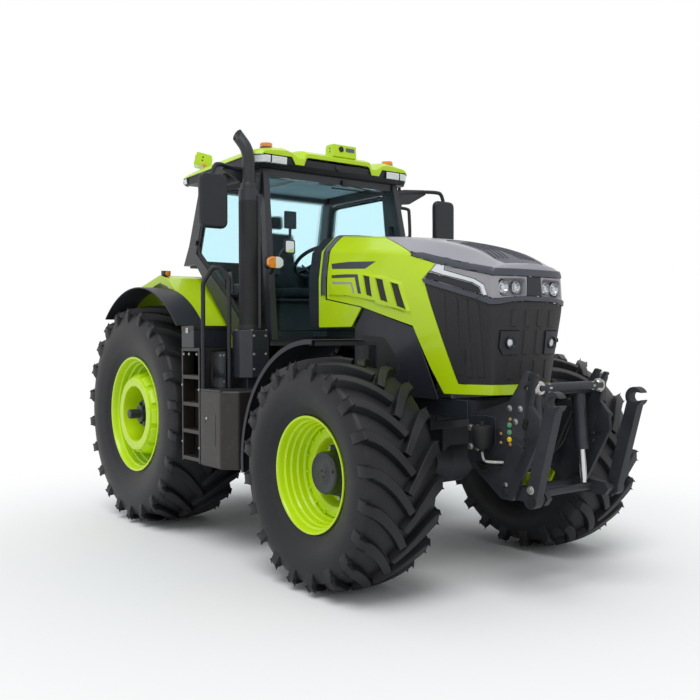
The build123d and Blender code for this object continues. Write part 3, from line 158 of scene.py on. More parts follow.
camera.matrix_world = (Matrix.Translation(CAMERA_AT) @ ahead.to_track_quat("-Z", "Y").to_matrix().to_4x4()
                       @ Matrix.Rotation(CAMERA_ROLL, 4, "Z"))
scene.camera = camera

# ---------------------------------------------------------------- tyres
# Radial farm tyres of black rubber: a smooth moulded carcass with a bead rib, and two rows
# of deep angled lugs that meet in a V at the crown and run over the shoulder.
HANDS = (("left", 1), ("right", -1))
LUGS = {"front": 20, "rear": 22}
RIM_WIDTH = {"front": 0.457, "rear": 0.584}
LUG_DEPTH = 0.048
CROWN_DROP = 0.038               # how much lower the crown is at the shoulder than in the middle


def finish(name, colour, rough, metal=0.0, coat=0.0, tone=0.12, tone_scale=3.0, grain=0.15, grain_scale=220.0,
           dust=None, level=0.5):
    """Surface with a slight variation of shade, a gloss that varies, and a fine grain."""
    made, tree = new_material(name)
    place = node(tree, "ShaderNodeTexCoord").outputs["Object"]
    broad = node(tree, "ShaderNodeTexNoise", {"Scale": tone_scale, "Detail": 5, "Vector": place}).outputs["Fac"]
    ramp = node(tree, "ShaderNodeValToRGB", {"Fac": broad})
    for stop, where, lift in zip(ramp.color_ramp.elements, (0.35, 0.65), (1 - tone, 1 + tone)):
        stop.position = where
        stop.color = (*[min(1, c * lift) for c in colour], 1)
    base = ramp.outputs["Color"]
    if dust:
        specks = node(tree, "ShaderNodeTexNoise", {"Scale": 9.0, "Detail": 8, "Roughness": 0.7, "Vector": place})
        settle = node(tree, "ShaderNodeMapRange",
                      {"From Min": 0.52, "From Max": 0.78, "To Max": dust[1], "Value": specks.outputs["Fac"]})
        base = node(tree, "ShaderNodeMix", {"B": (*dust[0], 1), "Factor": settle.outputs["Result"], "A": base},
                    data_type="RGBA").outputs["Result"]
    fine = node(tree, "ShaderNodeTexNoise", {"Scale": grain_scale, "Detail": 3, "Vector": place})
    gloss = node(tree, "ShaderNodeMapRange",
                 {"To Min": max(0.02, rough - 0.06), "To Max": min(1, rough + 0.06), "Value": broad})
    bump = node(tree, "ShaderNodeBump", {"Strength": grain, "Distance": 0.001, "Height": fine.outputs["Fac"]})
    wired(tree, tree.nodes["Principled BSDF"], {
        "Base Color": base, "Roughness": gloss.outputs["Result"], "Normal": bump.outputs["Normal"], "Metallic": metal,
        "Coat Weight": coat, "Coat Roughness": 0.12, "Specular IOR Level": level})
    return made


def mesh_object(name, bm, material=None, sharp=38.0):
    """New object from a bmesh, smooth except at edges sharper than the given angle."""
    bmesh.ops.remove_doubles(bm, verts=bm.verts, dist=1e-5)
    bmesh.ops.recalc_face_normals(bm, faces=bm.faces)
    for edge in bm.edges:
        edge.smooth = len(edge.link_faces) == 2 and edge.calc_face_angle() < math.radians(sharp)
    for face in bm.faces:
        face.smooth = True
    mesh = bpy.data.meshes.new(name)
    bm.to_mesh(mesh)
    bm.free()
    if material:
        mesh.materials.append(material)
    return placed(name, mesh)


def fitted(piece, body="chassis", slot="black_plastic", *replaced):
    """The piece moves with its body and stands for the CAD nodes named, which are hidden; the slot is not used."""
    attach(piece, body)
    if replaced:
        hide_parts(*replaced)
    return piece


def worked(piece):
    """The mesh that the object's modifiers or curve make of it."""
    bpy.context.view_layer.update()
    return bpy.data.meshes.new_from_object(piece.evaluated_get(bpy.context.evaluated_depsgraph_get()))


def made_plain(piece):
    """The same object with its modifiers worked into a plain mesh."""
    shape = worked(piece)
    piece.modifiers.clear()
    piece.data = shape
    return piece


def edge_rounded(piece, width, segments=2, angle=32.0):
    """Rounds the piece's edges, and keeps its flat faces looking flat."""
    bevel = piece.modifiers.new("edges", "BEVEL")
    bevel.width = width
    bevel.segments = segments
    bevel.limit_method = "ANGLE"
    bevel.angle_limit = math.radians(angle)
    bevel.harden_normals = True
    return made_plain(piece)


def joined(name, pieces):
    """One object from several, which are used up."""
    bm = bmesh.new()
    materials = []
    for piece in pieces:
        start = len(bm.faces)
        bm.from_mesh(piece.data)
        bm.faces.ensure_lookup_table()
        own = list(piece.data.materials)
        materials += [m for m in own if m not in materials]
        for face in bm.faces[start:]:
            face.material_index = materials.index(own[face.material_index]) if own else 0
    mesh = bpy.data.meshes.new(name)
    bm.to_mesh(mesh)
    bm.free()
    for m in materials:
        mesh.materials.append(m)
    whole = placed(name, mesh)
    for piece in pieces:
        bpy.data.objects.remove(piece)
    return whole


def moved(piece, place, degrees=0.0, axis="Z"):
    """The piece turned about an axis of its own and set at a place, in its mesh."""
    piece.data.transform(Matrix.Translation(place) @ Matrix.Rotation(math.radians(degrees), 4, axis))
    return piece


def skinned(bm, rings, around=False, ends=False):
    """Faces between rows of points: round each row where it is a ring, and over both ends if asked."""
    for near, far in zip(rings, rings[1:]):
        count = len(near)
        for i in range(count if around else count - 1):
            j = (i + 1) % count
            bm.faces.new((near[i], near[j], far[j], far[i]))
    if ends:
        bm.faces.new(rings[0])
        bm.faces.new(list(reversed(rings[-1])))


def turned_shape(profile, material, turns=80, sharp=38.0, closed=False):
    """Shape turned about a cross axis through the origin, from its profile of (radius, y)."""
    bm = bmesh.new()
    rows = []
    for k in range(turns):
        a = 2 * math.pi * k / turns
        rows.append([bm.verts.new((r * math.cos(a), y, r * math.sin(a))) for r, y in profile])
    skinned(bm, rows + rows[:1], around=closed)
    bmesh.ops.remove_doubles(bm, verts=bm.verts, dist=1e-6)
    bmesh.ops.dissolve_degenerate(bm, edges=bm.edges, dist=1e-6)
    return mesh_object("turned", bm, material, sharp)


def copies_tree():
    """Geometry Nodes: copies of a shape, each turned and moved on from the last."""
    tree = bpy.data.node_groups.new("stepped_copies", "GeometryNodeTree")
    for name, kind in (("Geometry", "Geometry"), ("Count", "Int"), ("Turn", "Float"), ("Axis", "Vector"),
                       ("Centre", "Vector"), ("Step", "Vector"), ("Material", "Material")):
        tree.interface.new_socket(name, in_out="INPUT", socket_type=f"NodeSocket{kind}")
    tree.interface.new_socket("Geometry", in_out="OUTPUT", socket_type="NodeSocketGeometry")
    given = node(tree, "NodeGroupInput").outputs
    index = node(tree, "GeometryNodeInputIndex").outputs[0]
    travel = node(tree, "ShaderNodeVectorMath", {0: given["Step"], "Scale": index}, operation="SCALE")
    place = node(tree, "ShaderNodeVectorMath", {0: travel.outputs[0], 1: given["Centre"]}, operation="ADD")
    dots = node(tree, "GeometryNodePoints", {"Count": given["Count"], "Position": place.outputs[0]})
    back = node(tree, "ShaderNodeVectorMath", {0: given["Centre"], "Scale": -1}, operation="SCALE")
    centred = node(tree, "GeometryNodeTransform", {"Geometry": given["Geometry"], "Translation": back.outputs[0]})
    angle = node(tree, "ShaderNodeMath", {0: index, 1: given["Turn"]}, operation="MULTIPLY")
    rotate = node(tree, "FunctionNodeAxisAngleToRotation", {"Axis": given["Axis"], "Angle": angle.outputs[0]})
    stand = node(tree, "GeometryNodeInstanceOnPoints",
                 {"Points": dots.outputs[0], "Instance": centred.outputs[0], "Rotation": rotate.outputs[0]})
    real = node(tree, "GeometryNodeRealizeInstances", {0: stand.outputs[0]})
    paint = node(tree, "GeometryNodeSetMaterial", {"Geometry": real.outputs[0], "Material": given["Material"]})
    node(tree, "NodeGroupOutput", {0: paint.outputs[0]})
    return tree


stepped_copies = copies_tree()


def repeated(piece, count, material, turn=0.0, axis=(0, 1, 0), step=(0, 0, 0)):
    """The piece and its copies as one plain mesh."""
    made = piece.modifiers.new("copies", "NODES")
    made.node_group = stepped_copies
    given = {"Count": count, "Turn": turn, "Axis": tuple(map(float, axis)), "Centre": (0.0, 0.0, 0.0),
             "Step": tuple(map(float, step)), "Material": material}
    for item in stepped_copies.interface.items_tree:
        if item.in_out == "INPUT" and item.name in given:
            made[item.identifier] = given[item.name]
    return made_plain(piece)


rubber = finish("tyre_rubber", (0.0065, 0.0071, 0.0092), 0.50, tone=0.25, tone_scale=5, grain=0.5, grain_scale=160,
                dust=((0.040, 0.037, 0.035), 0.25), level=0.38)


def crown_radius(size, y):
    """Radius over the lugs at a distance from the tyre's middle."""
    edge = size["half"] - 0.028
    return size["radius"] - CROWN_DROP * min(1.0, abs(y) / edge) ** 2


def wall_y(size, radius):
    """Half width of the carcass at a radius."""
    belly = (size["rim"] + size["radius"]) / 2
    inner_drop = (size["half"] - size["seat"]) / (size["rim"] - belly) ** 2
    outer_drop = 0.062 / (size["radius"] - CROWN_DROP - belly) ** 2
    return size["half"] - 0.002 - (inner_drop if radius < belly else outer_drop) * (radius - belly) ** 2


def carcass_profile(size):
    """Half profile from the bead to the crown, then its mirror, as (radius, y)."""
    rim, top = size["rim"], size["radius"] - CROWN_DROP - LUG_DEPTH - 0.02
    steps = 12
    side = [(rim, size["seat"] - 0.02), (rim + 0.001, size["seat"])]
    for i in range(1, steps + 1):
        r = rim + (top - rim) * i / steps
        rib = 0.004 if i in (2, 3) else 0.0
        side.append((r, wall_y(size, r) - 0.006 + rib))
    y_edge = side[-1][1]
    side.append((top + 0.022, y_edge - 0.012))
    for i in range(0, 6):
        y = (y_edge - 0.035) * (1 - i / 6)
        side.append((crown_radius(size, y) - LUG_DEPTH, y))
    return side + [(size["radius"] - LUG_DEPTH, 0)] + [(r, -y) for r, y in reversed(side)]


def lug(size, side):
    """One lug from just past the crown's middle, over the shoulder and down the wall."""
    reach = size["half"] - 0.026
    sweep = size["half"] * 0.92 / size["radius"]
    rows = []
    for i in range(9):
        t = i / 8
        y = -0.014 + (reach + 0.014) * t
        turn = sweep * (1 - (1 - t) ** 1.45)
        slope = sweep * 1.45 * (1 - t) ** 0.45 * size["radius"] / (reach + 0.014)
        run = math.hypot(1, slope)
        rows.append((turn, y, crown_radius(size, y), (1 / run, -slope / run), 0.025 + 0.010 * t,
                     size["radius"] - CROWN_DROP * t * t - LUG_DEPTH - 0.012, y))
    last = rows[-1]
    for drop, out, inside in ((0.030, 0.018, 0.03), (0.085, 0.021, 0.02), (0.125, 0.012, 0.016)):
        r = last[2] - drop
        rows.append((sweep + drop * 0.22, reach + out, r, (1, 0), last[4], r - 0.012, wall_y(size, r) - inside))
    bm = bmesh.new()
    rings = []
    for turn, y, r, across, width, r_in, y_in in rows:
        ring = []
        for spread, radius, place_y in ((-1.28, r_in, y_in), (-1.0, r, y), (1.0, r, y), (1.28, r_in, y_in)):
            shift = width * spread
            angle = turn + shift * across[0] / radius
            yy = (place_y + shift * across[1]) * side
            yy = max(-size["half"], min(size["half"], yy))
            ring.append(bm.verts.new((radius * math.cos(angle), yy, radius * math.sin(angle))))
        rings.append(ring)
    skinned(bm, rings, around=True, ends=True)
    return edge_rounded(mesh_object("lug", bm, rubber, 30), 0.006, 1, 35)


for end, count in LUGS.items():
    for hand, _ in HANDS:
        low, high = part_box(f"{end}_tyre_{hand}")
        rim_low, rim_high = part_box(f"{end}_wheel_{hand}")
        size = {"radius": (high.z - low.z) / 2, "half": (high.y - low.y) / 2, "rim": (rim_high.z - rim_low.z) / 2,
                "seat": RIM_WIDTH[end] / 2 - 0.012}
        pieces = [turned_shape(carcass_profile(size), rubber, 120, 60, closed=True)]
        pitch = 360 / count
        for side in (1, -1):
            row = repeated(lug(size, side), count, rubber, turn=math.radians(pitch))
            pieces.append(moved(row, (0, 0, 0), -pitch / 2 if side < 0 else 0, "Y"))
        # turned so that a lug stands flat on the ground
        tyre = moved(joined(f"{end}_tyre_{hand}_rubber", pieces), (low + high) / 2, pitch * 0.2, "Y")
        fitted(tyre, f"wheel_{end}_{hand}", "tyre", f"{end}_tyre_{hand}")

# ---------------------------------------------------------------- wheels
# Rolled steel rims with stepped beads, sprayed lime. A dished disc is bolted in each front rim
# and carries the hub's dark cover; each rear rim has a cast centre clamped on a bar axle.
lime = finish("lime_paint", (0.54, 0.77, 0.004), 0.32, coat=0.35, level=0.35, tone=0.035, tone_scale=1.6, grain=0.04,
              grain_scale=500)
charcoal = finish("charcoal_paint", (0.017, 0.020, 0.028), 0.42, coat=0.15, tone=0.12, tone_scale=4, grain=0.12,
                  grain_scale=400, dust=((0.07, 0.066, 0.06), 0.18), level=0.4)
zinc = finish("zinc_bolts", (0.42, 0.42, 0.40), 0.35, metal=0.9, tone=0.2, tone_scale=40)
FRONT_BARREL = [(0.3795, 0.2165), (0.381, 0.2225), (0.379, 0.2278), (0.374, 0.2285), (0.366, 0.226), (0.360, 0.216),
                (0.358, 0.198), (0.354, 0.182), (0.342, 0.172), (0.340, 0.142), (0.330, 0.130), (0.327, 0.098),
                (0.316, 0.086), (0.313, 0.052), (0.303, 0.040), (0.300, -0.050), (0.318, -0.070), (0.330, -0.150),
                (0.352, -0.175), (0.358, -0.200), (0.368, -0.226), (0.3795, -0.2278), (0.381, -0.2165)]
FRONT_DISC = [(0.303, 0.004), (0.299, 0.020), (0.291, 0.027), (0.244, 0.025), (0.230, 0.019), (0.219, 0.004),
              (0.211, -0.030), (0.203, -0.044), (0.135, -0.046), (0.135, -0.060), (0.208, -0.060), (0.222, -0.034),
              (0.232, 0.001), (0.250, 0.012), (0.290, 0.013), (0.299, 0.0)]
FRONT_COVER = [(0.160, -0.060), (0.160, -0.046), (0.146, -0.038), (0.140, -0.026), (0.140, 0.094), (0.1385, 0.101),
               (0.134, 0.1075), (0.126, 0.110), (0.119, 0.1095), (0.116, 0.1075), (0.062, 0.1075), (0.058, 0.109),
               (0.0, 0.109)]
REAR_BARREL = [(0.5065, 0.279), (0.508, 0.2855), (0.506, 0.2915), (0.500, 0.292), (0.490, 0.289), (0.484, 0.278),
               (0.481, 0.258), (0.475, 0.240), (0.464, 0.230), (0.461, 0.188), (0.450, 0.176), (0.446, 0.138),
               (0.434, 0.124), (0.430, 0.066), (0.418, 0.050), (0.414, -0.060), (0.430, -0.080), (0.446, -0.190),
               (0.472, -0.215), (0.481, -0.258), (0.492, -0.288), (0.506, -0.2915), (0.508, -0.280)]
REAR_CENTRE = [(0.416, 0.030), (0.416, 0.052), (0.404, 0.062), (0.372, 0.070), (0.357, 0.105), (0.330, 0.255),
               (0.322, 0.280), (0.3155, 0.2850), (0.2500, 0.2850), (0.2460, 0.282), (0.2440, 0.276), (0.238, 0.10),
               (0.226, 0.085), (0.120, 0.080), (0.120, 0.055), (0.240, 0.055), (0.300, 0.150), (0.340, 0.045),
               (0.380, 0.030)]
BAR_AXLE = [(0.0, 0.335), (0.036, 0.335), (0.041, 0.331), (0.042, 0.325), (0.042, 0.245), (0.060, 0.240),
            (0.075, 0.236), (0.078, 0.20), (0.100, 0.196), (0.121, 0.190), (0.122, 0.155), (0.060, 0.150),
            (0.055, -0.24), (0.0, -0.24)]


def rim_wall(visible, thickness):
    """Closed section of a rolled rim from its visible side."""
    back = []
    for (r0, y0), (r, y), (r1, y1) in zip(visible, visible[1:], visible[2:]):
        run = math.hypot(r1 - r0, y1 - y0)
        back.append((min(0.9995 * visible[0][0], r - (y1 - y0) / run * thickness), y + (r1 - r0) / run * thickness))
    return visible + list(reversed(back))


def outward(side, profile, material, turns, sharp=38.0, closed=False):
    """Turned shape on a cross axis, its profile drawn for the left side of the tractor."""
    return turned_shape([(r, y * side) for r, y in profile], material, turns, sharp, closed)


def bolt(head, height, material):
    """Hexagon bolt or nut on its washer, its foot at the origin and its head up the z axis."""
    bm = bmesh.new()
    for sides, r, low, high in ((20, head * 1.3, 0, height * 0.22), (6, head, height * 0.22, height)):
        rings = []
        for z, share in ((low, 1.0), (high - height * 0.1, 1.0), (high, 0.88)):
            rings.append([bm.verts.new((r * share * math.cos(2 * math.pi * k / sides),
                                        r * share * math.sin(2 * math.pi * k / sides), z)) for k in range(sides)])
        skinned(bm, rings, around=True, ends=True)
    return mesh_object("bolt", bm, material, 30)


def bolt_ring(count, radius, y, head, height, material, side, start=0.0):
    """Bolts round a wheel's axis, heads outward, about the origin."""
    place = (radius * math.cos(start), y * side, radius * math.sin(start))
    one = moved(bolt(head, height, material), place, -90 * side, "X")
    return repeated(one, count, material, turn=2 * math.pi / count)


def wheel_piece(name, end, hand, slot, pieces, *replaced):
    """Pieces made about the wheel's axis, joined and set in the middle of its tyre."""
    low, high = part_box(f"{end}_tyre_{hand}")
    fitted(moved(joined(f"{name}_{hand}", pieces), (low + high) / 2), f"wheel_{end}_{hand}", slot, *replaced)


for hand, side in HANDS:
    wheel_piece("front_rim", "front", hand, "lime_paint", [
        outward(side, rim_wall(FRONT_BARREL, 0.007), lime, 128, 27, True),
        outward(side, FRONT_DISC, lime, 96, 30, True),
        bolt_ring(16, 0.283, 0.026, 0.0095, 0.014, lime, side, 0.1)], f"front_wheel_{hand}")
    wheel_piece("front_hub_cover", "front", hand, "charcoal_paint", [
        outward(side, FRONT_COVER, charcoal, 72, 40), bolt_ring(3, 0.024, 0.1085, 0.008, 0.006, charcoal, side, 0.5),
        bolt_ring(1, 0.098, 0.107, 0.011, 0.007, charcoal, side, 0.2)])
    wheel_piece("front_wheel_nuts", "front", hand, "steel", [
        bolt_ring(10, 0.178, -0.045, 0.0175, 0.030, zinc, side, 0.3)])
    # raised panel of the cast centre, tapering out from the ring's edge
    bm = bmesh.new()
    rings = []
    for r, y, half_width, proud in ((0.320, 0.268, 0.066, 0.004), (0.334, 0.245, 0.068, 0.010),
                                    (0.352, 0.150, 0.076, 0.012), (0.366, 0.086, 0.082, 0.006)):
        rings.append([bm.verts.new((r + add, y * side, across)) for add, across in
                      ((-0.012, -half_width), (proud, -half_width * 0.94), (proud, half_width * 0.94),
                       (-0.012, half_width))])
    skinned(bm, rings, around=True, ends=True)
    boss = edge_rounded(mesh_object("boss", bm, lime, 30), 0.004, 2, 30)
    wheel_piece("rear_rim", "rear", hand, "lime_paint", [
        outward(side, rim_wall(REAR_BARREL, 0.008), lime, 128, 27, True),
        outward(side, REAR_CENTRE, lime, 96, 34, True),
        repeated(boss, 12, lime, turn=2 * math.pi / 12), bolt_ring(8, 0.303, 0.2845, 0.006, 0.005, lime, side, 0.2),
        bolt_ring(8, 0.392, 0.064, 0.013, 0.018, lime, side, 0.4)], f"rear_wheel_{hand}")
    wheel_piece("rear_bar_axle", "rear", hand, "charcoal_paint", [
        outward(side, BAR_AXLE, charcoal, 64, 34), bolt_ring(6, 0.098, 0.194, 0.013, 0.022, charcoal, side)])
    wheel_piece("rear_wheel_nuts", "rear", hand, "steel", [
        bolt_ring(10, 0.185, 0.082, 0.015, 0.028, zinc, side, 0.3)])

# ---------------------------------------------------------------- axle, frame and driveline
# Castings and welded box sections in satin charcoal: the driven front axle with its swivel
# housings and tie rod, the frame rails, engine, gearbox, rear housing and radiator core.
casting = finish("painted_casting", (0.019, 0.021, 0.027), 0.55, tone=0.2, tone_scale=6, grain=0.5, grain_scale=120,
                 dust=((0.06, 0.055, 0.05), 0.3), level=0.4)
core_metal = finish("radiator_core", (0.30, 0.31, 0.32), 0.45, metal=0.8, tone=0.15, tone_scale=30, grain=0.6,
                    grain_scale=90)
black_plastic = finish("black_plastic", (0.011, 0.013, 0.019), 0.48, tone=0.12, tone_scale=5, grain=0.35,
                       grain_scale=420, dust=((0.05, 0.048, 0.045), 0.12), level=0.42)


def clean_copy(part):
    """Copy of a CAD node's shape, its triangles merged into faces."""
    bm = bmesh.new()
    bm.from_mesh(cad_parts[part].data)
    bmesh.ops.remove_doubles(bm, verts=bm.verts, dist=2e-5)
    bmesh.ops.dissolve_limit(bm, angle_limit=math.radians(1.0), verts=bm.verts, edges=bm.edges)
    return bm


def softened(part, width, material, body="chassis", slot="black_plastic", segments=2):
    """Stands for a CAD node with the same shape, its edges rounded as folded or cast metal is."""
    piece = mesh_object(f"{part}_finished", clean_copy(part), material, 30)
    return fitted(edge_rounded(piece, width, segments, 28), body, slot, part)


for part, width in (("front_axle", 0.008), ("engine_block", 0.012), ("gearbox", 0.012), ("rear_axle_housing", 0.012)):
    softened(part, width, casting, "chassis", "cast_iron")
softened("front_frame", 0.005, charcoal, "chassis", "charcoal_paint")
softened("rear_hitch", 0.003, charcoal, "chassis", "charcoal_paint")
softened("radiator", 0.004, core_metal, "chassis", "aluminium")
softened("tie_rod", 0.003, charcoal, "tie_rod", "charcoal_paint")
for hand, _ in HANDS:
    softened(f"knuckle_{hand}", 0.006, casting, f"knuckle_{hand}", "cast_iron")

# ---------------------------------------------------------------- hood
# Moulded panels on one tilting frame: a lime shell with pressed ridges and meshed vents, a
# silver-grey top with a dark band under its edge that is painted shade, the lamp surround over a moulded chin, and the
# dark grille.
silver = finish("silver_paint", (0.34, 0.335, 0.375), 0.34, metal=0.3, coat=0.3, tone=0.05, tone_scale=2, grain=0.08,
                grain_scale=600)
lamp_grey = finish("lamp_surround", (0.31, 0.30, 0.32), 0.38, metal=0.1, tone=0.05, grain=0.08, grain_scale=600)
# dark grey for the seal, chin, louvre and bands on the shell, and as painted shade for the band under the silver top's
# edge
dark_trim_and_painted_shade = finish("dark_trim_and_painted_shade", (0.048, 0.053, 0.072), 0.42, tone=0.08, tone_scale=4, grain=0.2, grain_scale=500)
pale_band = finish("pale_band", (0.36, 0.35, 0.36), 0.4, tone=0.05, tone_scale=4, grain=0.05, grain_scale=500)
mesh_black = finish("vent_mesh", (0.012, 0.012, 0.014), 0.6, tone=0.3, tone_scale=90, grain=1.0, grain_scale=300)
lamp_white = finish("white_lens", (0.74, 0.76, 0.79), 0.12, coat=0.5, tone=0.03, tone_scale=10, grain=0.05,
                    grain_scale=300)
reflector = finish("lamp_reflector", (0.50, 0.52, 0.55), 0.20, metal=0.9, tone=0.12, tone_scale=50, grain=0.6,
                   grain_scale=90)
# sections of the hood: x, then y and z of the crown's edge, shoulder, ridge and lower edge
HOOD_ROWS = [(1.895, 0.300, 2.430, 0.420, 2.310, 0.450, 2.100, 0.450, 1.2),
             (2.800, 0.280, 2.330, 0.415, 2.225, 0.450, 2.010, 0.450, 1.2),
             (3.280, 0.265, 2.215, 0.370, 2.110, 0.400, 1.930, 0.350, 1.2),
             (3.556, 0.255, 2.105, 0.333, 2.072, 0.344, 1.850, 0.272, 1.2)]
HOOD_REAR, HOOD_FRONT = HOOD_ROWS[0][0], HOOD_ROWS[-1][0]
SQUARE_END = 3.13                # ahead of this x the sections bend forward to the nose
LOWER_EDGE = [(1.895, 1.937), (2.320, 1.866), (2.880, 1.718), (3.030, 1.436), (3.130, 1.265), (3.600, 1.265)]
NOSE_LINE = [(1.265, 3.490), (1.850, 3.556), (2.072, 3.546), (2.3, 3.530)]
CORNER_BACK, CENTRE_AHEAD, NOSE_HALF = 0.045, 0.016, 0.34
SILL, SHADE_BAND_LOW, SHADE_BAND_HIGH = 1.335, 2.030, 2.075    # heights where the nose's panels part
PANEL_WALL = 0.007
SEAM = 0.0022
PRESSED = 0.010                  # how far the ridges stand out of the shell's sides
CLOSE_BY = 0.002                 # faces this near a drawn line are split by it
# numbers of the sheet's panels; one above OWN_PAINT shows that material of its panel
SHELL, TOP, SHADE_BAND, LAMPS, CHIN, STRIP, INSET, GRILLE, PLATE, FOG = range(10)
OWN_PAINT = 100
LOUVRED, SHELL_DARK, SHELL_PALE, SHELL_MESH = OWN_PAINT + 1, OWN_PAINT + 2, OWN_PAINT + 3, OWN_PAINT + 4


def both_sides(half):
    """Outline in plan from its left half, from the rear to the front."""
    return half + [(x, -y) for x, y in reversed(half) if y]


# the band between the brow line and the line above it, and between the two heights on the nose, is painted shade: the
# silver top's downward-facing edge coloured dark
BROW_LINE = [(2.760, 2.222), (3.070, 2.132), (3.300, 2.078), (3.520, 2.030), (3.700, 2.030)]
SHADE_BAND_TOP = [(2.760, 2.226), (2.930, 2.214), (3.070, 2.178), (3.300, 2.123), (3.520, 2.075), (3.700, 2.075)]
SILVER_WEDGE = both_sides([(2.04, 0.0), (2.438, 0.300), (2.654, 0.360), (2.864, 0.420), (2.90, 0.60), (3.8, 0.60)])
GRILLE_SIDE = [(2.990, 2.003), (3.240, 1.335), (3.700, 1.335), (3.700, 1.843), (3.510, 1.843), (3.470, 1.858),
               (3.400, 1.885)]
CHIN_SIDE = [(2.963, 2.031), (2.990, 2.003), (3.400, 1.885), (3.470, 1.858), (3.530, 1.843), (3.530, 1.884),
             (3.470, 1.900), (3.030, 2.030)]
LAMP_SIDE = [(2.963, 2.031), (3.070, 2.132), (3.300, 2.078), (3.700, 2.030), (3.700, 1.843), (3.510, 1.843),
             (3.470, 1.858), (3.400, 1.885), (2.990, 2.003)]
STRIP_SIDE = [(3.070, 2.130), (3.140, 2.116), (3.140, 2.085), (3.385, 2.014), (3.455, 1.975), (3.485, 1.905),
              (3.455, 1.903), (3.430, 1.960), (3.375, 1.990), (3.128, 2.055), (3.030, 2.083)]
INSET_SIDE = [(3.012, 2.072), (3.128, 2.047), (3.370, 1.982), (3.420, 1.955), (3.438, 1.914), (3.080, 2.016),
              (2.985, 2.040)]
CHIN_FRONT = [(0.36, 1.843), (0.30, 1.847), (0.21, 1.864), (0.13, 1.869), (0.0, 1.869), (0.0, 1.903), (0.13, 1.903),
              (0.21, 1.894), (0.30, 1.884), (0.36, 1.884)]
CHIN_TOP = [(0, 1.886), (0.13, 1.886), (0.21, 1.878), (0.30, 1.866), (0.5, 1.863)]
POCKET = [(0.078, 1.915), (0.092, 1.900), (0.272, 1.896), (0.292, 1.912), (0.297, 1.995), (0.282, 2.014),
          (0.100, 2.018), (0.080, 2.004)]
CENTRE_PLATE = [(0.073, 1.903), (0.064, 2.030), (-0.064, 2.030), (-0.073, 1.903)]
FOG_BOX = [(0.125, 1.527), (0.245, 1.527), (0.275, 1.575), (0.275, 1.681), (0.125, 1.681)]
LOUVRE = both_sides([(2.900, 0.150), (2.965, 0.205), (3.430, 0.218), (3.490, 0.190)])
LOUVRE_RIBS = [[(2.985 + 0.4 * a, a), (3.265, a), (3.405, a + 0.045), (3.405, a + 0.056), (3.262, a + 0.010),
                (2.985 + 0.4 * a, a + 0.010)] for a in (0.018, 0.058, 0.098, 0.138)]
REAR_PATCH = [(2.640, 0.085), (2.760, 0.130), (2.760, -0.130), (2.640, -0.085)]
BANDS = [(SHELL_DARK, [(1.932, 2.206), (2.139, 2.206), (2.474, 2.187), (2.358, 2.140), (1.950, 2.164)]),
         (SHELL_DARK, [(1.962, 2.116), (2.138, 2.113), (2.289, 2.104), (2.340, 1.958), (2.300, 1.962), (2.256, 2.082),
                       (1.968, 2.092)]),
         (SHELL_PALE, [(1.974, 2.066), (2.224, 2.050), (2.262, 1.966), (2.240, 1.967), (2.208, 2.035), (1.974, 2.047)])]
VENTS = [[(2.344, 2.096), (2.426, 2.081), (2.467, 1.927), (2.388, 1.946)],
         [(2.487, 2.068), (2.578, 2.049), (2.642, 1.881), (2.547, 1.905)],
         [(2.655, 2.030), (2.744, 2.010), (2.829, 1.826), (2.725, 1.855)]]
RIDGE = [(1.945, 2.157), (2.232, 2.139), (2.555, 2.078), (2.770, 2.024), (2.870, 1.790), (2.554, 1.875),
         (2.231, 1.945), (1.918, 1.958)]


def oblong(u0, v0, u1, v1):
    """Rectangle from its lowest corner to the one across it."""
    return [(u0, v0), (u1, v0), (u1, v1), (u0, v1)]


GRILLE_RIBS = ([("front", oblong(y - 0.024, low, y + 0.024, high)) for y in (0.058, 0.176)
                for low, high in ((1.365, 1.492), (1.705, 1.815))] + [("front", oblong(0.034, 1.525, 0.082, 1.690))]
               + [("side", [(rear, low_rear), (front, low_front), (front, high_front), (rear, high_rear)])
                  for rear, front, low_rear, low_front, high_front, high_rear in (
                      (3.125, 3.165, 1.700, 1.590, 1.930, 1.942), (3.235, 3.265, 1.400, 1.385, 1.900, 1.908),
                      (3.300, 3.345, 1.380, 1.380, 1.880, 1.892), (3.380, 3.425, 1.380, 1.380, 1.858, 1.870))])


def between(table, value):
    """Value of a broken line at a place."""
    for (a, fa), (b, fb) in zip(table, table[1:]):
        if value <= b:
            return fa + (fb - fa) * max(0.0, (value - a) / (b - a))
    return table[-1][1]


def hood_row(x):
    """Corner points of the hood's section at x, on a smooth curve through its sections."""
    x = min(max(x, HOOD_REAR), HOOD_FRONT)
    i = max(k for k in range(len(HOOD_ROWS) - 1) if x >= HOOD_ROWS[k][0])
    a, b = HOOD_ROWS[i], HOOD_ROWS[i + 1]
    before = HOOD_ROWS[i - 1] if i else None
    after = HOOD_ROWS[i + 2] if i + 2 < len(HOOD_ROWS) else None
    t, run = (x - a[0]) / (b[0] - a[0]), b[0] - a[0]
    out = []
    for k in range(1, 9):
        ma = (b[k] - before[k]) / (b[0] - before[0]) if before else (b[k] - a[k]) / run
        mb = (after[k] - a[k]) / (after[0] - a[0]) if after else (b[k] - a[k]) / run
        out.append(a[k] * (1 + 2 * t) * (1 - t) ** 2 + run * ma * t * (1 - t) ** 2
                   + b[k] * t * t * (3 - 2 * t) + run * mb * t * t * (t - 1))
    return out


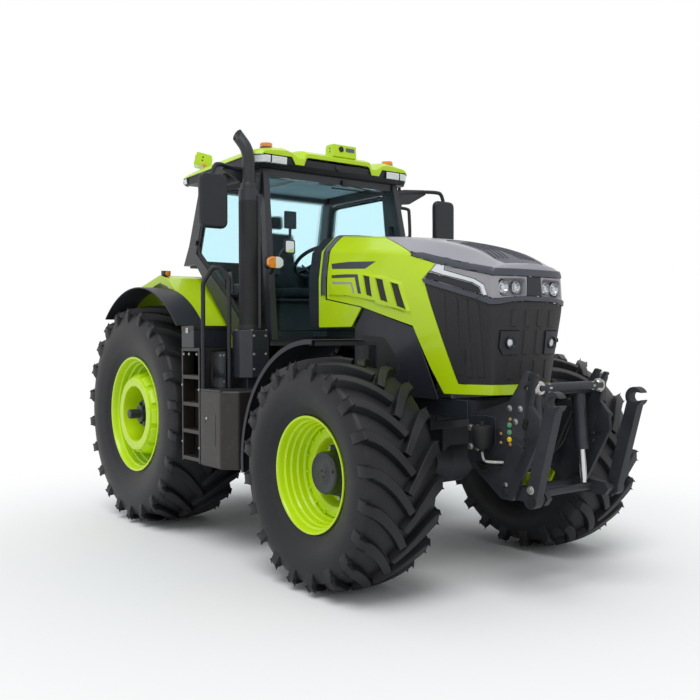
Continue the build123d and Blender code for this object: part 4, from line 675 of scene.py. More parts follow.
def hood_half(x):
    """Half section from the crown to the lower edge, as (y, z), with rounded corners."""
    ty, tz, sy, sz, dy, dz, ly, lz = hood_row(x)
    end_z = between(LOWER_EDGE, x)
    end = (dy + (ly - dy) * (dz - end_z) / (dz - lz), end_z)
    corners = [((ty, tz), 0.030, 5), ((sy, sz), 0.028, 5), ((dy, dz), min(0.09, (dz - end_z) * 0.45), 4)]
    line = [(0.0, tz + 0.012), (ty * 0.35, tz + 0.0105), (ty * 0.65, tz + 0.006)]
    points = [(0.0, tz + 0.012), (ty, tz), (sy, sz), (dy, dz), end]
    for k, (corner, reach, steps) in enumerate(corners, 1):
        here = Vector(points[k])
        into = (Vector(points[k - 1]) - here).normalized() * reach + here
        out = (Vector(points[k + 1]) - here).normalized() * reach + here
        for s in range(steps):
            t = s / (steps - 1)
            line.append(tuple(into * (1 - t) ** 2 + here * 2 * t * (1 - t) + out * t * t))
        if k < 3:
            following = Vector(points[k + 1]) + (here - Vector(points[k + 1])).normalized() * corners[k][1]
            line += [tuple(out.lerp(following, s / 3)) for s in (1, 2)]
    last = Vector(line[-1])
    return line + [tuple(last.lerp(Vector(end), s / 8)) for s in range(1, 9)]


def nose_at(share, z):
    """How far forward the nose's face lies, at a share of its half width and a height."""
    return between(NOSE_LINE, z) - CORNER_BACK + (CORNER_BACK + CENTRE_AHEAD) * max(0.0, 1 - share ** 2.6) ** 0.62


def sheet_between(bm, rows):
    """Faces between rows of points given from the rear axle."""
    skinned(bm, [[bm.verts.new(at(*p)) for p in row] for row in rows])


def hood_surface():
    """The hood's outer face as one open sheet."""
    bm = bmesh.new()
    stations = [HOOD_REAR + 0.055 * k for k in range(30)]
    stations = sorted({round(x, 4) for x in stations if x < 3.54} | {x for x, _ in LOWER_EDGE[1:-1]}
                      | {3.53, HOOD_FRONT})
    rows = []
    for x in stations:
        pull = max(0.0, (x - SQUARE_END) / (HOOD_FRONT - SQUARE_END)) ** 1.6
        half = hood_half(x)
        full = [(-y, z) for y, z in reversed(half[1:])] + half
        rows.append([(x + pull * (between(NOSE_LINE, z) - CORNER_BACK - HOOD_FRONT), y, z) for y, z in full])
    edge = rows[-1]
    for f in (0.985, 0.955, 0.90, 0.82, 0.70, 0.54, 0.36, 0.18, 0.0):
        rows.append([(nose_at(f, z), y * f, z) for _, y, z in edge])
    sheet_between(bm, rows)
    bmesh.ops.remove_doubles(bm, verts=bm.verts, dist=1e-5)
    bmesh.ops.dissolve_degenerate(bm, edges=bm.edges, dist=1e-5)
    bmesh.ops.recalc_face_normals(bm, faces=bm.faces)
    if max(bm.faces, key=lambda f: f.calc_center_median().z).normal.z < 0:
        bmesh.ops.reverse_faces(bm, faces=bm.faces)
    return bm


def on_nose(face):
    """Whether a face of the sheet belongs to the nose, not to a side or the top."""
    middle = face.calc_center_median()
    return middle.x - AXLE_X > between(NOSE_LINE, middle.z) - CORNER_BACK - 0.003 and middle.z < 2.085


def drawn(view, u, v, depth=0.0):
    """Coordinates of a point drawn in a view from the side, from ahead or from above."""
    return {"side": (u, depth, v), "front": (depth, u, v), "plan": (u, v, depth)}[view]


def seen_at(point, view):
    """The two coordinates of a point that a view shows."""
    x = point.x - AXLE_X
    return {"side": (x, point.z), "front": (point.y, point.z), "plan": (x, point.y)}[view]


def taken_by(view, face):
    """Whether what is drawn in a view applies to a face of the sheet."""
    return {"side": not on_nose(face), "front": on_nose(face), "plan": face.normal.z > 0.25}[view]


def scored(bm, outline, view, closed=True):
    """Splits the sheet's faces along an outline, and along its mirror image where a view shows both sides."""
    for start, stop in zip(outline, outline[1:] + outline[:1] if closed else outline[1:]):
        for mirror in ((1,) if view == "side" else (1, -1)):
            a, b = [Vector((u * mirror, v) if view == "front" else (u, v * mirror)) for u, v in (start, stop)]
            across = (b - a).orthogonal().normalized()
            near = []
            for face in bm.faces:
                if taken_by(view, face):
                    shown = [seen_at(v.co, view) for v in face.verts]
                    if all(max(p[k] for p in shown) >= min(a[k], b[k]) - CLOSE_BY
                           and min(p[k] for p in shown) <= max(a[k], b[k]) + CLOSE_BY for k in (0, 1)):
                        near.append(face)
            if near:
                near += list({e for f in near for e in f.edges}) + list({v for f in near for v in f.verts})
                bmesh.ops.bisect_plane(bm, geom=near, dist=2e-5, plane_co=at(*drawn(view, *a)),
                                       plane_no=drawn(view, *across))


def holds(outline, u, v):
    """Whether an outline goes round a point."""
    inside = False
    for (u0, v0), (u1, v1) in zip(outline, outline[1:] + outline[:1]):
        if (v0 > v) != (v1 > v) and u < (u1 - u0) * (v - v0) / (v1 - v0) + u0:
            inside = not inside
    return inside


def within(face, outline, view):
    """Whether a face of the sheet lies inside an outline, or inside its mirror image."""
    u, v = seen_at(face.calc_center_median(), view)
    mirrored = {"side": (u, v), "front": (-u, v), "plan": (u, -v)}[view]
    return holds(outline, u, v) or holds(outline, *mirrored)


def walled(piece, thickness, offset=-1):
    """The sheet with a thickness; an offset of -1 keeps its outer face, and 0 its middle."""
    wall = piece.modifiers.new("wall", "SOLIDIFY")
    wall.thickness = thickness
    wall.offset = offset
    return made_plain(piece)


def panel(sheet, wanted, name, materials, proud=0.0, wall=PANEL_WALL, edge=0.0012):
    """One panel of the sheet: parted by a seam, set out a little, walled, with rounded edges."""
    bm = sheet.copy()
    key = bm.faces.layers.int["panel"]
    bmesh.ops.delete(bm, geom=[f for f in bm.faces if f[key] not in wanted], context="FACES")
    rim = bmesh.ops.inset_region(bm, faces=bm.faces[:], thickness=SEAM, use_boundary=True, use_even_offset=True)
    bmesh.ops.delete(bm, geom=rim["faces"], context="FACES")
    if proud:
        for vert in bm.verts:
            vert.normal_update()
        for vert, way in [(v, v.normal.copy()) for v in bm.verts]:
            vert.co += way * proud
    for face in bm.faces:
        face.material_index = max(0, face[key] - OWN_PAINT)
    mesh = bpy.data.meshes.new(name)
    bm.to_mesh(mesh)
    bm.free()
    for m in materials:
        mesh.materials.append(m)
    piece = walled(placed(name, mesh), wall)
    bm = bmesh.new()
    bm.from_mesh(piece.data)
    for line in bm.edges:
        line.smooth = len(line.link_faces) == 2 and line.calc_face_angle() < math.radians(24)
    for face in bm.faces:
        face.smooth = True
    bm.to_mesh(piece.data)
    bm.free()
    return edge_rounded(piece, edge, 2, 50)


def kind_of(face):
    """Which panel of the hood a face of the sheet belongs to."""
    middle = face.calc_center_median()
    x, z = middle.x - AXLE_X, middle.z
    if on_nose(face):
        if z > SHADE_BAND_LOW:
            return TOP if z > SHADE_BAND_HIGH else SHADE_BAND
        if z < SILL:
            return SHELL
        if within(face, CHIN_FRONT, "front"):
            return CHIN
        if z > between(CHIN_TOP, abs(middle.y)):
            return PLATE if within(face, CENTRE_PLATE, "front") else LAMPS
        return FOG if within(face, FOG_BOX, "front") else GRILLE
    if holds(SILVER_WEDGE, x, middle.y) and z > between(BROW_LINE, x):
        if z < between(SHADE_BAND_TOP, x) and x > SHADE_BAND_TOP[0][0]:
            return SHADE_BAND
        dark = face.normal.z > 0.25 and (within(face, LOUVRE, "plan") or within(face, REAR_PATCH, "plan"))
        return LOUVRED if dark else TOP
    for outline, kind in ((STRIP_SIDE, STRIP), (INSET_SIDE, INSET), (CHIN_SIDE, CHIN), (LAMP_SIDE, LAMPS),
                          (GRILLE_SIDE, GRILLE), *[(vent, SHELL_MESH) for vent in VENTS],
                          *[(band, kind) for kind, band in BANDS]):
        if within(face, outline, "side"):
            return kind
    return SHELL


sheet = hood_surface()
for outline, view, closed in (
        [(BROW_LINE, "side", False), (SHADE_BAND_TOP, "side", False), (SILVER_WEDGE, "plan", True)]
        + [(outline, "side", True) for outline in (GRILLE_SIDE, CHIN_SIDE, LAMP_SIDE, STRIP_SIDE, INSET_SIDE)]
        + [(outline, "front", True) for outline in (CHIN_FRONT, POCKET, CENTRE_PLATE, FOG_BOX)]
        + [([(0.5, z), (-0.5, z)], "front", False) for z in (SILL, SHADE_BAND_LOW, SHADE_BAND_HIGH)]
        + [(RIDGE, "side", True), (LOUVRE, "plan", True), (REAR_PATCH, "plan", True)]
        + [(outline, "side", True) for outline in [band for _, band in BANDS] + VENTS]
        + [(outline, "plan", True) for outline in LOUVRE_RIBS]
        + [(outline, view, True) for view, outline in GRILLE_RIBS]):
    scored(sheet, outline, view, closed)
key = sheet.faces.layers.int.new("panel")
for face in sheet.faces:
    face[key] = kind_of(face)


def stepped(faces, width, depth):
    """Steps faces of the sheet out, or in, with a narrow slope round them; gives the slope's faces."""
    return bmesh.ops.inset_region(sheet, faces=faces, thickness=width, depth=depth, use_even_offset=True)["faces"]


# the ridges are pressed out between two lines, and the vents sit back behind the shell
shell_kinds = (SHELL, SHELL_DARK, SHELL_PALE, SHELL_MESH)
pressed = {v for f in sheet.faces if f[key] in shell_kinds and within(f, RIDGE, "side") for v in f.verts}
for vert in pressed:
    if all(within(f, RIDGE, "side") for f in vert.link_faces):
        vert.co.y += math.copysign(PRESSED, vert.co.y)
for face in stepped([f for f in sheet.faces if f[key] == SHELL_MESH], 0.003, -0.012):
    face[key] = SHELL
stepped([f for f in sheet.faces if f[key] == GRILLE
         and any(within(f, outline, view) and taken_by(view, f) for view, outline in GRILLE_RIBS)], 0.004, 0.006)
stepped([f for f in sheet.faces if f[key] == LOUVRED], 0.004, -0.004)
stepped([f for f in sheet.faces if f[key] == LOUVRED
         and any(within(f, rib, "plan") for rib in LOUVRE_RIBS)], 0.002, 0.005)
stepped([f for f in sheet.faces if f[key] == LAMPS and on_nose(f) and within(f, POCKET, "front")], 0.012, -0.045)
for kinds, name, materials, shape, slot, *replaced in (
        (shell_kinds, "hood_shell_lime", (lime, lime, dark_trim_and_painted_shade, pale_band, mesh_black), {}, "lime_paint",
         "hood_shell"),
        ((TOP, LOUVRED), "hood_top_silver", (silver, dark_trim_and_painted_shade), {}, "silver_paint", "hood_top_panel"),
        # painted shade: a dark strip standing for the silver top's edge where it faces down
        ((SHADE_BAND,), "hood_visor", (dark_trim_and_painted_shade,), dict(proud=0.006, wall=0.012, edge=0.003), "black_plastic"),
        ((LAMPS,), "lamp_surround", (lamp_grey,), dict(edge=0.002), "silver_paint", "headlight_unit"),
        ((CHIN,), "nose_chin", (dark_trim_and_painted_shade,), dict(proud=0.012, wall=0.018, edge=0.005), "black_plastic"),
        ((STRIP,), "side_light_strip", (lamp_white,), dict(proud=0.003, edge=0.002), "lamp_lens"),
        ((INSET,), "lamp_inset", (black_plastic,), dict(proud=-0.002), "black_plastic"),
        ((PLATE,), "nose_plate", (black_plastic,), dict(proud=0.001), "black_plastic"),
        ((GRILLE,), "grille_mesh", (mesh_black,), {}, "black_plastic", "grille"),
        ((FOG,), "lower_lamp_boxes", (black_plastic,), dict(proud=0.010, wall=0.02, edge=0.004), "black_plastic")):
    fitted(panel(sheet, kinds, name, materials, **shape), "hood", slot, *replaced)
sheet.free()


def lamp(radius, y, z, back, deep):
    """Round lamp behind the nose's face: a bright bowl round an eye, or a lens deep in a black bowl."""
    depth, ring = 0.02, 0.004
    bowl = [(radius, 0.0), (radius, depth), (radius - ring, depth + 0.002), (radius - ring - 0.001, depth - 0.002),
            (radius * 0.62, 0.004), (radius * 0.3, 0.0), (0.0, 0.0)]
    eye = [(radius * 0.34, 0.002), (radius * 0.34, depth * 0.5), (radius * 0.25, depth * 0.8), (0.0, depth * 0.95)]
    if deep:
        eye = [(radius * 0.80, 0.003), (radius * 0.72, depth * 0.45), (radius * 0.45, depth * 0.75),
               (0.0, depth * 0.85)]
    made = joined("lamp", [turned_shape(bowl, black_plastic if deep else reflector, 32, 30),
                           turned_shape(eye, reflector if deep else lamp_white, 24, 30)])
    return moved(made, at(nose_at(min(1.0, abs(y) / NOSE_HALF), z) - back, y, z), -90)


lamps = [lamp(radius, y * side, z, back, deep) for side in (1, -1) for radius, y, z, back, deep in (
    (0.045, 0.245, 1.957, 0.040, False), (0.040, 0.142, 1.957, 0.042, False), (0.042, 0.198, 1.604, 0.004, True))]
fitted(joined("nose_lamps", lamps), "hood", "lamp_lens")

# ---------------------------------------------------------------- cowl and engine side panels
# The lime scuttle behind the hood has black edging towards the screen and a moulded rubber seal
# that the hood closes on. Dark sheet panels with pressed edges and a meshed vent cover the engine.


def slab(outline, view, low, high, material, edge=0.002, corner=0.0, name="slab"):
    """Plate of an outline seen from the side, from ahead or from above, with rounded edges."""
    bm = bmesh.new()
    bm.faces.new([bm.verts.new(at(*drawn(view, u, v, low))) for u, v in outline])
    if corner:
        bmesh.ops.bevel(bm, geom=bm.verts[:], offset=corner, segments=4, profile=0.5, affect="VERTICES")
    top = bmesh.ops.extrude_face_region(bm, geom=bm.faces[:], use_keep_orig=True)["geom"]
    bmesh.ops.translate(bm, verts=[v for v in top if isinstance(v, bmesh.types.BMVert)],
                        vec=drawn(view, 0, 0, high - low))
    made = mesh_object(name, bm, material, 30)
    return edge_rounded(made, edge, 2, 30) if edge else made


def rod(points, radius, material, sides=16, smooth=False, name="rod"):
    """Round bar or tube through points, with rounded bends and closed ends."""
    shape = bpy.data.curves.new(name, "CURVE")
    shape.dimensions = "3D"
    shape.bevel_depth = radius
    shape.bevel_resolution = sides // 4 - 1
    shape.use_fill_caps = True
    shape.resolution_u = 10
    line = shape.splines.new("NURBS" if smooth else "POLY")
    line.points.add(len(points) - 1)
    for spot, point in zip(line.points, points):
        spot.co = (*at(*point), 1)
    if smooth:
        line.order_u = 3
        line.use_endpoint_u = True
    maker = placed(name, shape)
    mesh = worked(maker)
    bpy.data.objects.remove(maker)
    bm = bmesh.new()
    bm.from_mesh(mesh)
    bpy.data.meshes.remove(mesh)
    for face in bm.faces:
        face.material_index = 0
    return mesh_object(name, bm, material, 40)


def strap(rows, thickness, material, edge=0.0015, name="strap"):
    """Sheet through rows of points, walled to a thickness about its middle."""
    bm = bmesh.new()
    sheet_between(bm, rows)
    return edge_rounded(walled(mesh_object(name, bm, material, 30), thickness, 0), edge, 2, 40)


bm = clean_copy("cowl")
bmesh.ops.bisect_plane(bm, geom=bm.verts[:] + bm.edges[:] + bm.faces[:], dist=2e-5, plane_co=at(1.787, 0, 0),
                       plane_no=(1, 0, 0))
cowl = edge_rounded(mesh_object("cowl_scuttle", bm, lime, 30), 0.012, 3, 28)
cowl.data.materials.append(black_plastic)
for face in cowl.data.polygons:
    face.material_index = 1 if face.center.x < AXLE_X + 1.785 else 0
fitted(cowl, "chassis", "lime_paint", "cowl")
SEAL_END = (0.450, 1.962)        # half width and height at which the seal stops on either side
ring = [(y, z) for y, z in hood_half(HOOD_REAR) if z > SEAL_END[1]] + [SEAL_END]
ring = [(-y, z) for y, z in reversed(ring[1:])] + ring
fitted(strap([[(x, y * (1 + lift * 2.2), z + lift) for y, z in ring] for x, lift in (
    (1.820, -0.004), (1.824, 0.004), (1.834, 0.008), (1.855, 0.009), (1.862, 0.002), (1.868, -0.004))],
             0.008, dark_trim_and_painted_shade, name="hood_seal"))
softened("side_panels", 0.004, charcoal)
for hand, side in HANDS:
    fitted(slab([(2.330, 1.500), (2.300, 1.660), (2.560, 1.640), (2.700, 1.500), (2.740, 1.400), (2.400, 1.400)],
                "side", side * 0.4275, side * 0.431, mesh_black, 0.001, 0.02, f"engine_vent_{hand}"))

# ---------------------------------------------------------------- cab shell
# Welded pillars painted dark, curved at their edges, with bonded panes of green tinted glass and
# black rubber seals. Each door is a glass leaf in a thin frame on two hinges, with a pull handle.
glass, tree = new_material("tinted_pane")
spot = node(tree, "ShaderNodeTexCoord").outputs["Object"]
film = node(tree, "ShaderNodeTexNoise", {"Scale": 1.1, "Vector": spot}).outputs["Fac"]
haze = node(tree, "ShaderNodeMapRange", {"To Min": 0.25, "To Max": 0.31, "Value": film}).outputs["Result"]
wired(tree, tree.nodes["Principled BSDF"], {
    "Base Color": (0.32, 0.86, 1.0, 1), "Transmission Weight": 1.0, "IOR": 1.02, "Coat Weight": 0.3,
    "Roughness": 0.03, "Specular IOR Level": 0.65, "Alpha": haze})
rubber_seal = finish("rubber_seal", (0.010, 0.010, 0.011), 0.6, tone=0.15, tone_scale=8, grain=0.3, grain_scale=200,
                     level=0.3)
SILL_Y, SILL_Z, LEAN = 0.780, 1.650, math.tan(math.radians(3.4))


def cab_y(z, side, inward=0.0):
    """Across position of the cab's leaning side at a height."""
    return side * (SILL_Y - (z - SILL_Z) * LEAN - inward)


def screen_x(z):
    """Where the windscreen's outer face is at a height."""
    return 1.338 + (3.007 - z) * 0.240 / 1.352


def cab_leaf(outline, side, out, into, material, name, corner=0.03, frame_width=0.0, edge=0.0015):
    """Plate or open frame lying in the cab's side, between two depths under its outer face."""
    bm = bmesh.new()
    bm.faces.new([bm.verts.new(at(x, 0, z)) for x, z in outline])
    bmesh.ops.bevel(bm, geom=bm.verts[:], offset=corner, segments=5, profile=0.5, affect="VERTICES")
    if frame_width:
        rim = bmesh.ops.inset_region(bm, faces=bm.faces[:], thickness=frame_width, use_boundary=True,
                                     use_even_offset=True)["faces"]
        bmesh.ops.delete(bm, geom=[f for f in bm.faces if f not in rim], context="FACES")
    top = bmesh.ops.extrude_face_region(bm, geom=bm.faces[:], use_keep_orig=True)["geom"]
    inner = {v for v in top if isinstance(v, bmesh.types.BMVert)}
    for vert in bm.verts:
        vert.co.y = cab_y(vert.co.z, side, into if vert in inner else out)
    made = mesh_object(name, bm, material, 30)
    return edge_rounded(made, edge, 2, 30) if edge else made


softened("cab_frame", 0.010, charcoal, "chassis", "charcoal_paint", 3)
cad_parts["cab_windows"].material_slots[0].material = glass
DOOR = [(0.300, 2.400), (0.425, 2.925), (1.215, 2.925), (1.268, 1.800), (1.120, 1.800), (0.950, 1.945)]
QUARTER = [(1.318, 1.756), (screen_x(1.756) - 0.038, 1.756), (screen_x(2.644) - 0.038, 2.644), (1.296, 2.644)]
for hand, side in HANDS:
    body = f"door_{hand}"
    fitted(cab_leaf(DOOR, side, 0.006, 0.012, glass, f"door_glass_{hand}", 0.06, edge=0), body, "tinted_glass", body)
    # the leaf's frame and seal, and its pull handle and lock at the rear edge
    fitted(joined(f"door_frame_{hand}", [
        cab_leaf(DOOR, side, 0.0008, 0.029, charcoal, "leaf", 0.06, 0.024, 0.004),
        cab_leaf(DOOR, side, 0.0005, 0.006, rubber_seal, "seal", 0.06, 0.040, 0.001),
        slab([(0.905, 2.010), (0.985, 2.010), (0.960, 2.190), (0.880, 2.190)], "side", cab_y(2.1, side, 0.012),
             cab_y(2.1, side, -0.004), charcoal, 0.004, 0.012),
        rod([(0.925, cab_y(2.02, side), 2.04), (0.922, cab_y(2.05, side, -0.035), 2.05),
             (0.908, cab_y(2.15, side, -0.035), 2.15), (0.903, cab_y(2.16, side), 2.165)], 0.009, rubber_seal, 12,
            True)]), body, "charcoal_paint")
    fitted(cab_leaf(QUARTER, side, 0.004, 0.010, glass, f"quarter_glass_{hand}", edge=0), "chassis", "tinted_glass")
    fitted(cab_leaf(QUARTER, side, -0.002, 0.008, rubber_seal, f"quarter_seal_{hand}", 0.03, 0.020, 0.002))
# screen seal along the pillars, and the parked wiper under the header
seals = [rod([(screen_x(z) + 0.012, cab_y(z, -1, 0.040) * side, z) for z in (1.72, 2.98)], 0.008, rubber_seal, 10)
         for side in (1, -1)]
seals.append(rod([(screen_x(1.70) + 0.010, y, 1.70) for y in (-0.70, 0.70)], 0.008, rubber_seal, 10))
fitted(joined("screen_seal", seals))
fitted(joined("screen_wiper", [
    rod([(screen_x(2.96) + 0.020, 0.12, 2.955), (screen_x(2.94) + 0.030, 0.16, 2.94),
         (screen_x(2.915) + 0.026, 0.40, 2.918)], 0.006, black_plastic, 10),
    rod([(screen_x(2.905) + 0.016, y, 2.905) for y in (-0.02, 0.60)], 0.006, rubber_seal, 8),
    slab(oblong(0.09, 2.93, 0.15, 2.98), "front", screen_x(2.95) + 0.006, screen_x(2.95) + 0.034, black_plastic,
         0.004)]))

# ---------------------------------------------------------------- roof
# One lime moulding, thin and low at the rear and deep at the front, where two notches part its
# lamp corners from the middle. It caps a black rim that carries eight white work lamps.
EAVE = [(0.174, 3.057), (0.231, 3.062), (1.440, 3.092), (1.452, 3.092)]
CROWN = [(0.174, 3.070), (0.26, 3.104), (0.45, 3.140), (0.80, 3.172), (1.10, 3.186), (1.30, 3.184), (1.40, 3.166),
         (1.452, 3.140)]
ROOF_HALF = 0.826
SHELF, BRINK = 0.26, 0.030       # how far from its sides the roof starts to fall, and falls steeply
NOTCH_DEEP, NOTCH_FROM = 0.052, 1.10


def roof_half(x):
    """Half width of the roof at x, its corners rounded."""
    if x < 0.234:
        return ROOF_HALF - 0.045 * (1 - (x - 0.174) / 0.060) ** 2
    if x > 1.330:
        return ROOF_HALF - 0.085 * ((x - 1.330) / 0.122) ** 2
    return ROOF_HALF


def notch(y):
    """How far the lime front edge dips at a place across: deep in two notches beside the middle."""
    return between([(0.0, 0.0), (0.330, 0.0), (0.352, 1.0), (0.400, 1.0), (0.470, 0.25), (0.520, 0.0), (0.9, 0.0)],
                   abs(y))


rows = []
for x in (0.174, 0.180, 0.20, 0.234, 0.28, 0.34, 0.45, 0.60, 0.75, 0.90, 1.05, 1.18, 1.27, 1.33, 1.37, 1.40, 1.425,
          1.442, 1.452):
    half = roof_half(x)
    low_z, top_z = between(EAVE, x), between(CROWN, x)
    row = []
    ys = sorted({round(half * k / 12, 4) for k in range(13)} | {0.33, 0.352, 0.376, 0.40, 0.435, 0.47, 0.52})
    for y in [y for y in ys if y < half - 0.035] + [half - 0.030, half - 0.015, half - 0.005, half]:
        drop, brink = max(0.0, (y - (half - SHELF)) / SHELF), max(0.0, (y - (half - BRINK)) / BRINK)
        lip = min(0.030, (top_z - low_z) * 0.6)
        z = top_z + 0.004 * (1 - (y / half) ** 2) - (top_z - low_z - lip) * drop ** 1.8 - lip * brink ** 2.0
        if x > NOTCH_FROM:
            z -= notch(y) * NOTCH_DEEP * min(1.0, (x - NOTCH_FROM) / 0.26)
        row.append((y, z))
    rows.append((x, row))
width = max(len(row) for _, row in rows)
for _, row in rows:
    while len(row) < width:
        row.insert(1, ((row[0][0] + row[1][0]) / 2, (row[0][1] + row[1][1]) / 2))
full = [[(x, -y, z) for y, z in reversed(row[1:])] + [(x, y, z) for y, z in row] for x, row in rows]
# the front and rear lips turn down to the rim
front_lip = [(x - 0.004, y * 0.998, 3.040 if notch(y) > 0.5 else 3.110 if abs(y) < 0.33 else 3.098)
             for x, y, z in full[-1]]
full.append([(x, y, (z + lip_z) / 2) for (x, y, z), (_, _, lip_z) in zip(full[-1], front_lip)])
full.append(front_lip)
full.insert(0, [(0.178, y * 0.99, 3.058) for x, y, z in full[0]])
bm = bmesh.new()
sheet_between(bm, full)
bmesh.ops.dissolve_degenerate(bm, edges=bm.edges, dist=1e-4)
skin = mesh_object("roof_skin", bm, lime, 50)
if max(skin.data.polygons, key=lambda p: p.center.z).normal.z < 0:
    skin.data.flip_normals()
fitted(edge_rounded(walled(skin, 0.006), 0.0018, 2, 50), "chassis", "lime_paint", "cab_roof")
softened("roof_fascia", 0.006, black_plastic)
lamp_glass = finish("work_lamp_glass", (0.74, 0.77, 0.79), 0.15, coat=0.4, tone=0.10, tone_scale=60, grain=1.0,
                    grain_scale=120)
# two lamps wrap round each front corner and one round each rear one, in dark bezels under the lime edge
clusters, bezels = [], []
for side in (1, -1):
    for path, facing, low_z, high_z in (
            ([(1.450, 0.520), (1.4505, 0.590), (1.450, 0.660)], 1, 3.030, 3.086),
            ([(1.450, 0.674), (1.449, 0.712), (1.443, 0.735), (1.428, 0.755), (1.395, 0.784), (1.352, 0.816)], 1, 3.030,
             3.086),
            ([(0.186, 0.760), (0.196, 0.790), (0.225, 0.812), (0.290, 0.822)], -1, 3.010, 3.052)):
        clusters.append(strap([[(x - inward * facing, y * side, z) for x, y in path] for z, inward in (
            (low_z, 0.016), (low_z + 0.006, 0.004), (high_z - 0.006, 0.0), (high_z, 0.006))], 0.010, lamp_glass, 0.002))
        bezels.append(strap([[(x - 0.010 * facing, (y - 0.004) * side, z) for x, y in path]
                             for z in (low_z - 0.008, high_z + 0.006)], 0.010, black_plastic, 0.002))
fitted(joined("roof_lamp_glasses", clusters), "chassis", "lamp_lens")


def ahead_facing(profile, place, material, turns=28, sharp=30):
    """Turned shape that faces ahead, profile of (radius, x)."""
    return moved(turned_shape(profile, material, turns, sharp), at(*place), -90)


eye = ahead_facing([(0.022, 0), (0.022, 0.010), (0.017, 0.016), (0.008, 0.019), (0, 0.0195)], (1.427, 0, 3.060),
                   black_plastic, 24, 38)
fitted(joined("roof_lamp_bezels", bezels + [eye]))

# ---------------------------------------------------------------- roof cameras and beacons
# Small lime housings with a round lens, a display window and two side screws, and amber warning
# lamps on low grey feet.
orange = finish("amber_lens", (0.85, 0.26, 0.015), 0.2, coat=0.5, tone_scale=30, grain=0.3, grain_scale=90)
slate = finish("camera_window", (0.05, 0.085, 0.13), 0.15, coat=0.4, tone=0.1, tone_scale=20, grain=0.05,
               grain_scale=200)


def upright(profile, place, material, turns=32, sharp=30):
    """Turned shape on an upright axis, profile of (radius, height)."""
    return moved(turned_shape(profile, material, turns, sharp), at(*place), 90, "X")


def screw_heads(spots, side, y, size=0.009, material=zinc, height=None):
    """Bolt heads on an outer side face."""
    return [moved(bolt(size, height or size * 0.8, material), at(x, y * side, z), -90 * side, "X") for x, z in spots]


def camera_box(length, width, height):
    """Camera housing about the origin, looking ahead."""
    front = length / 2
    parts = [slab([(-front, 0), (front, 0), (front - 0.006, height), (-length * 0.40, height), (-front, height * 0.7)],
                  "side", -width / 2, width / 2, lime, 0.006),
             ahead_facing([(0.024, -0.004), (0.024, 0.003), (0.019, 0.005), (0.0185, 0.001), (0, 0.0)],
                          (front - 0.002, -width * 0.16, height * 0.62), black_plastic),
             slab(oblong(width * 0.04, height * 0.47, width * 0.40, height * 0.77), "front", front - 0.008,
                  front + 0.0006, slate, 0.001, 0.006)]
    for side in (1, -1):
        parts += screw_heads([(0.008, height * z) for z in (0.42, 0.68)], side, width / 2 - 0.0005, 0.006, charcoal,
                             0.003)
    return moved(joined("camera", parts), -at(0, 0, 0))


fitted(joined("roof_camera_boxes", [
    moved(camera_box(0.118, 0.245, 0.105), at(1.378, 0.075, 3.160)),
    moved(moved(camera_box(0.150, 0.200, 0.110), (0, 0, 0), -14, "Y"), at(0.375, -0.715, 3.150), -118),
    upright([(0.016, 0), (0.016, 0.014), (0.010, 0.020), (0, 0.021)], (0.500, -0.760, 3.138), orange, 16)]),
    "chassis", "lime_paint", "roof_cameras")
beacon_parts = []
for side in (1, -1):
    beacon_parts += [upright([(0.056, 0.0), (0.056, 0.024), (0.050, 0.032), (0.0, 0.032)],
                             (1.318, 0.633 * side, 3.145), charcoal),
                     upright([(0.050, 0.0), (0.051, 0.022), (0.047, 0.031), (0.030, 0.035), (0.0, 0.0355)],
                             (1.318, 0.633 * side, 3.177), orange)]
fitted(joined("roof_beacons", beacon_parts), "chassis", "amber_lens", "beacons")

# ---------------------------------------------------------------- fenders
# Pressed rear wings in lime with black moulded extensions outside them, and black moulded
# guards over the front tyres that turn with the hubs.
softened("rear_fender_panels", 0.016, lime, "chassis", "lime_paint", 4)
softened("fender_extensions", 0.003, black_plastic)
work = []
for hand, side in HANDS:
    softened(f"front_fender_{hand}", 0.003, black_plastic, f"knuckle_{hand}")
    work += [slab([(0.160, 2.190), (0.225, 2.190), (0.232, 2.235), (0.160, 2.240)], "side", side * 0.950, side * 1.015,
                  black_plastic, 0.008),
             ahead_facing([(0.024, 0), (0.024, 0.006), (0.015, 0.010), (0, 0.011)], (0.226, 0.982 * side, 2.213),
                          orange, 20)]
fitted(joined("wing_lamps", work), "chassis", "amber_lens")

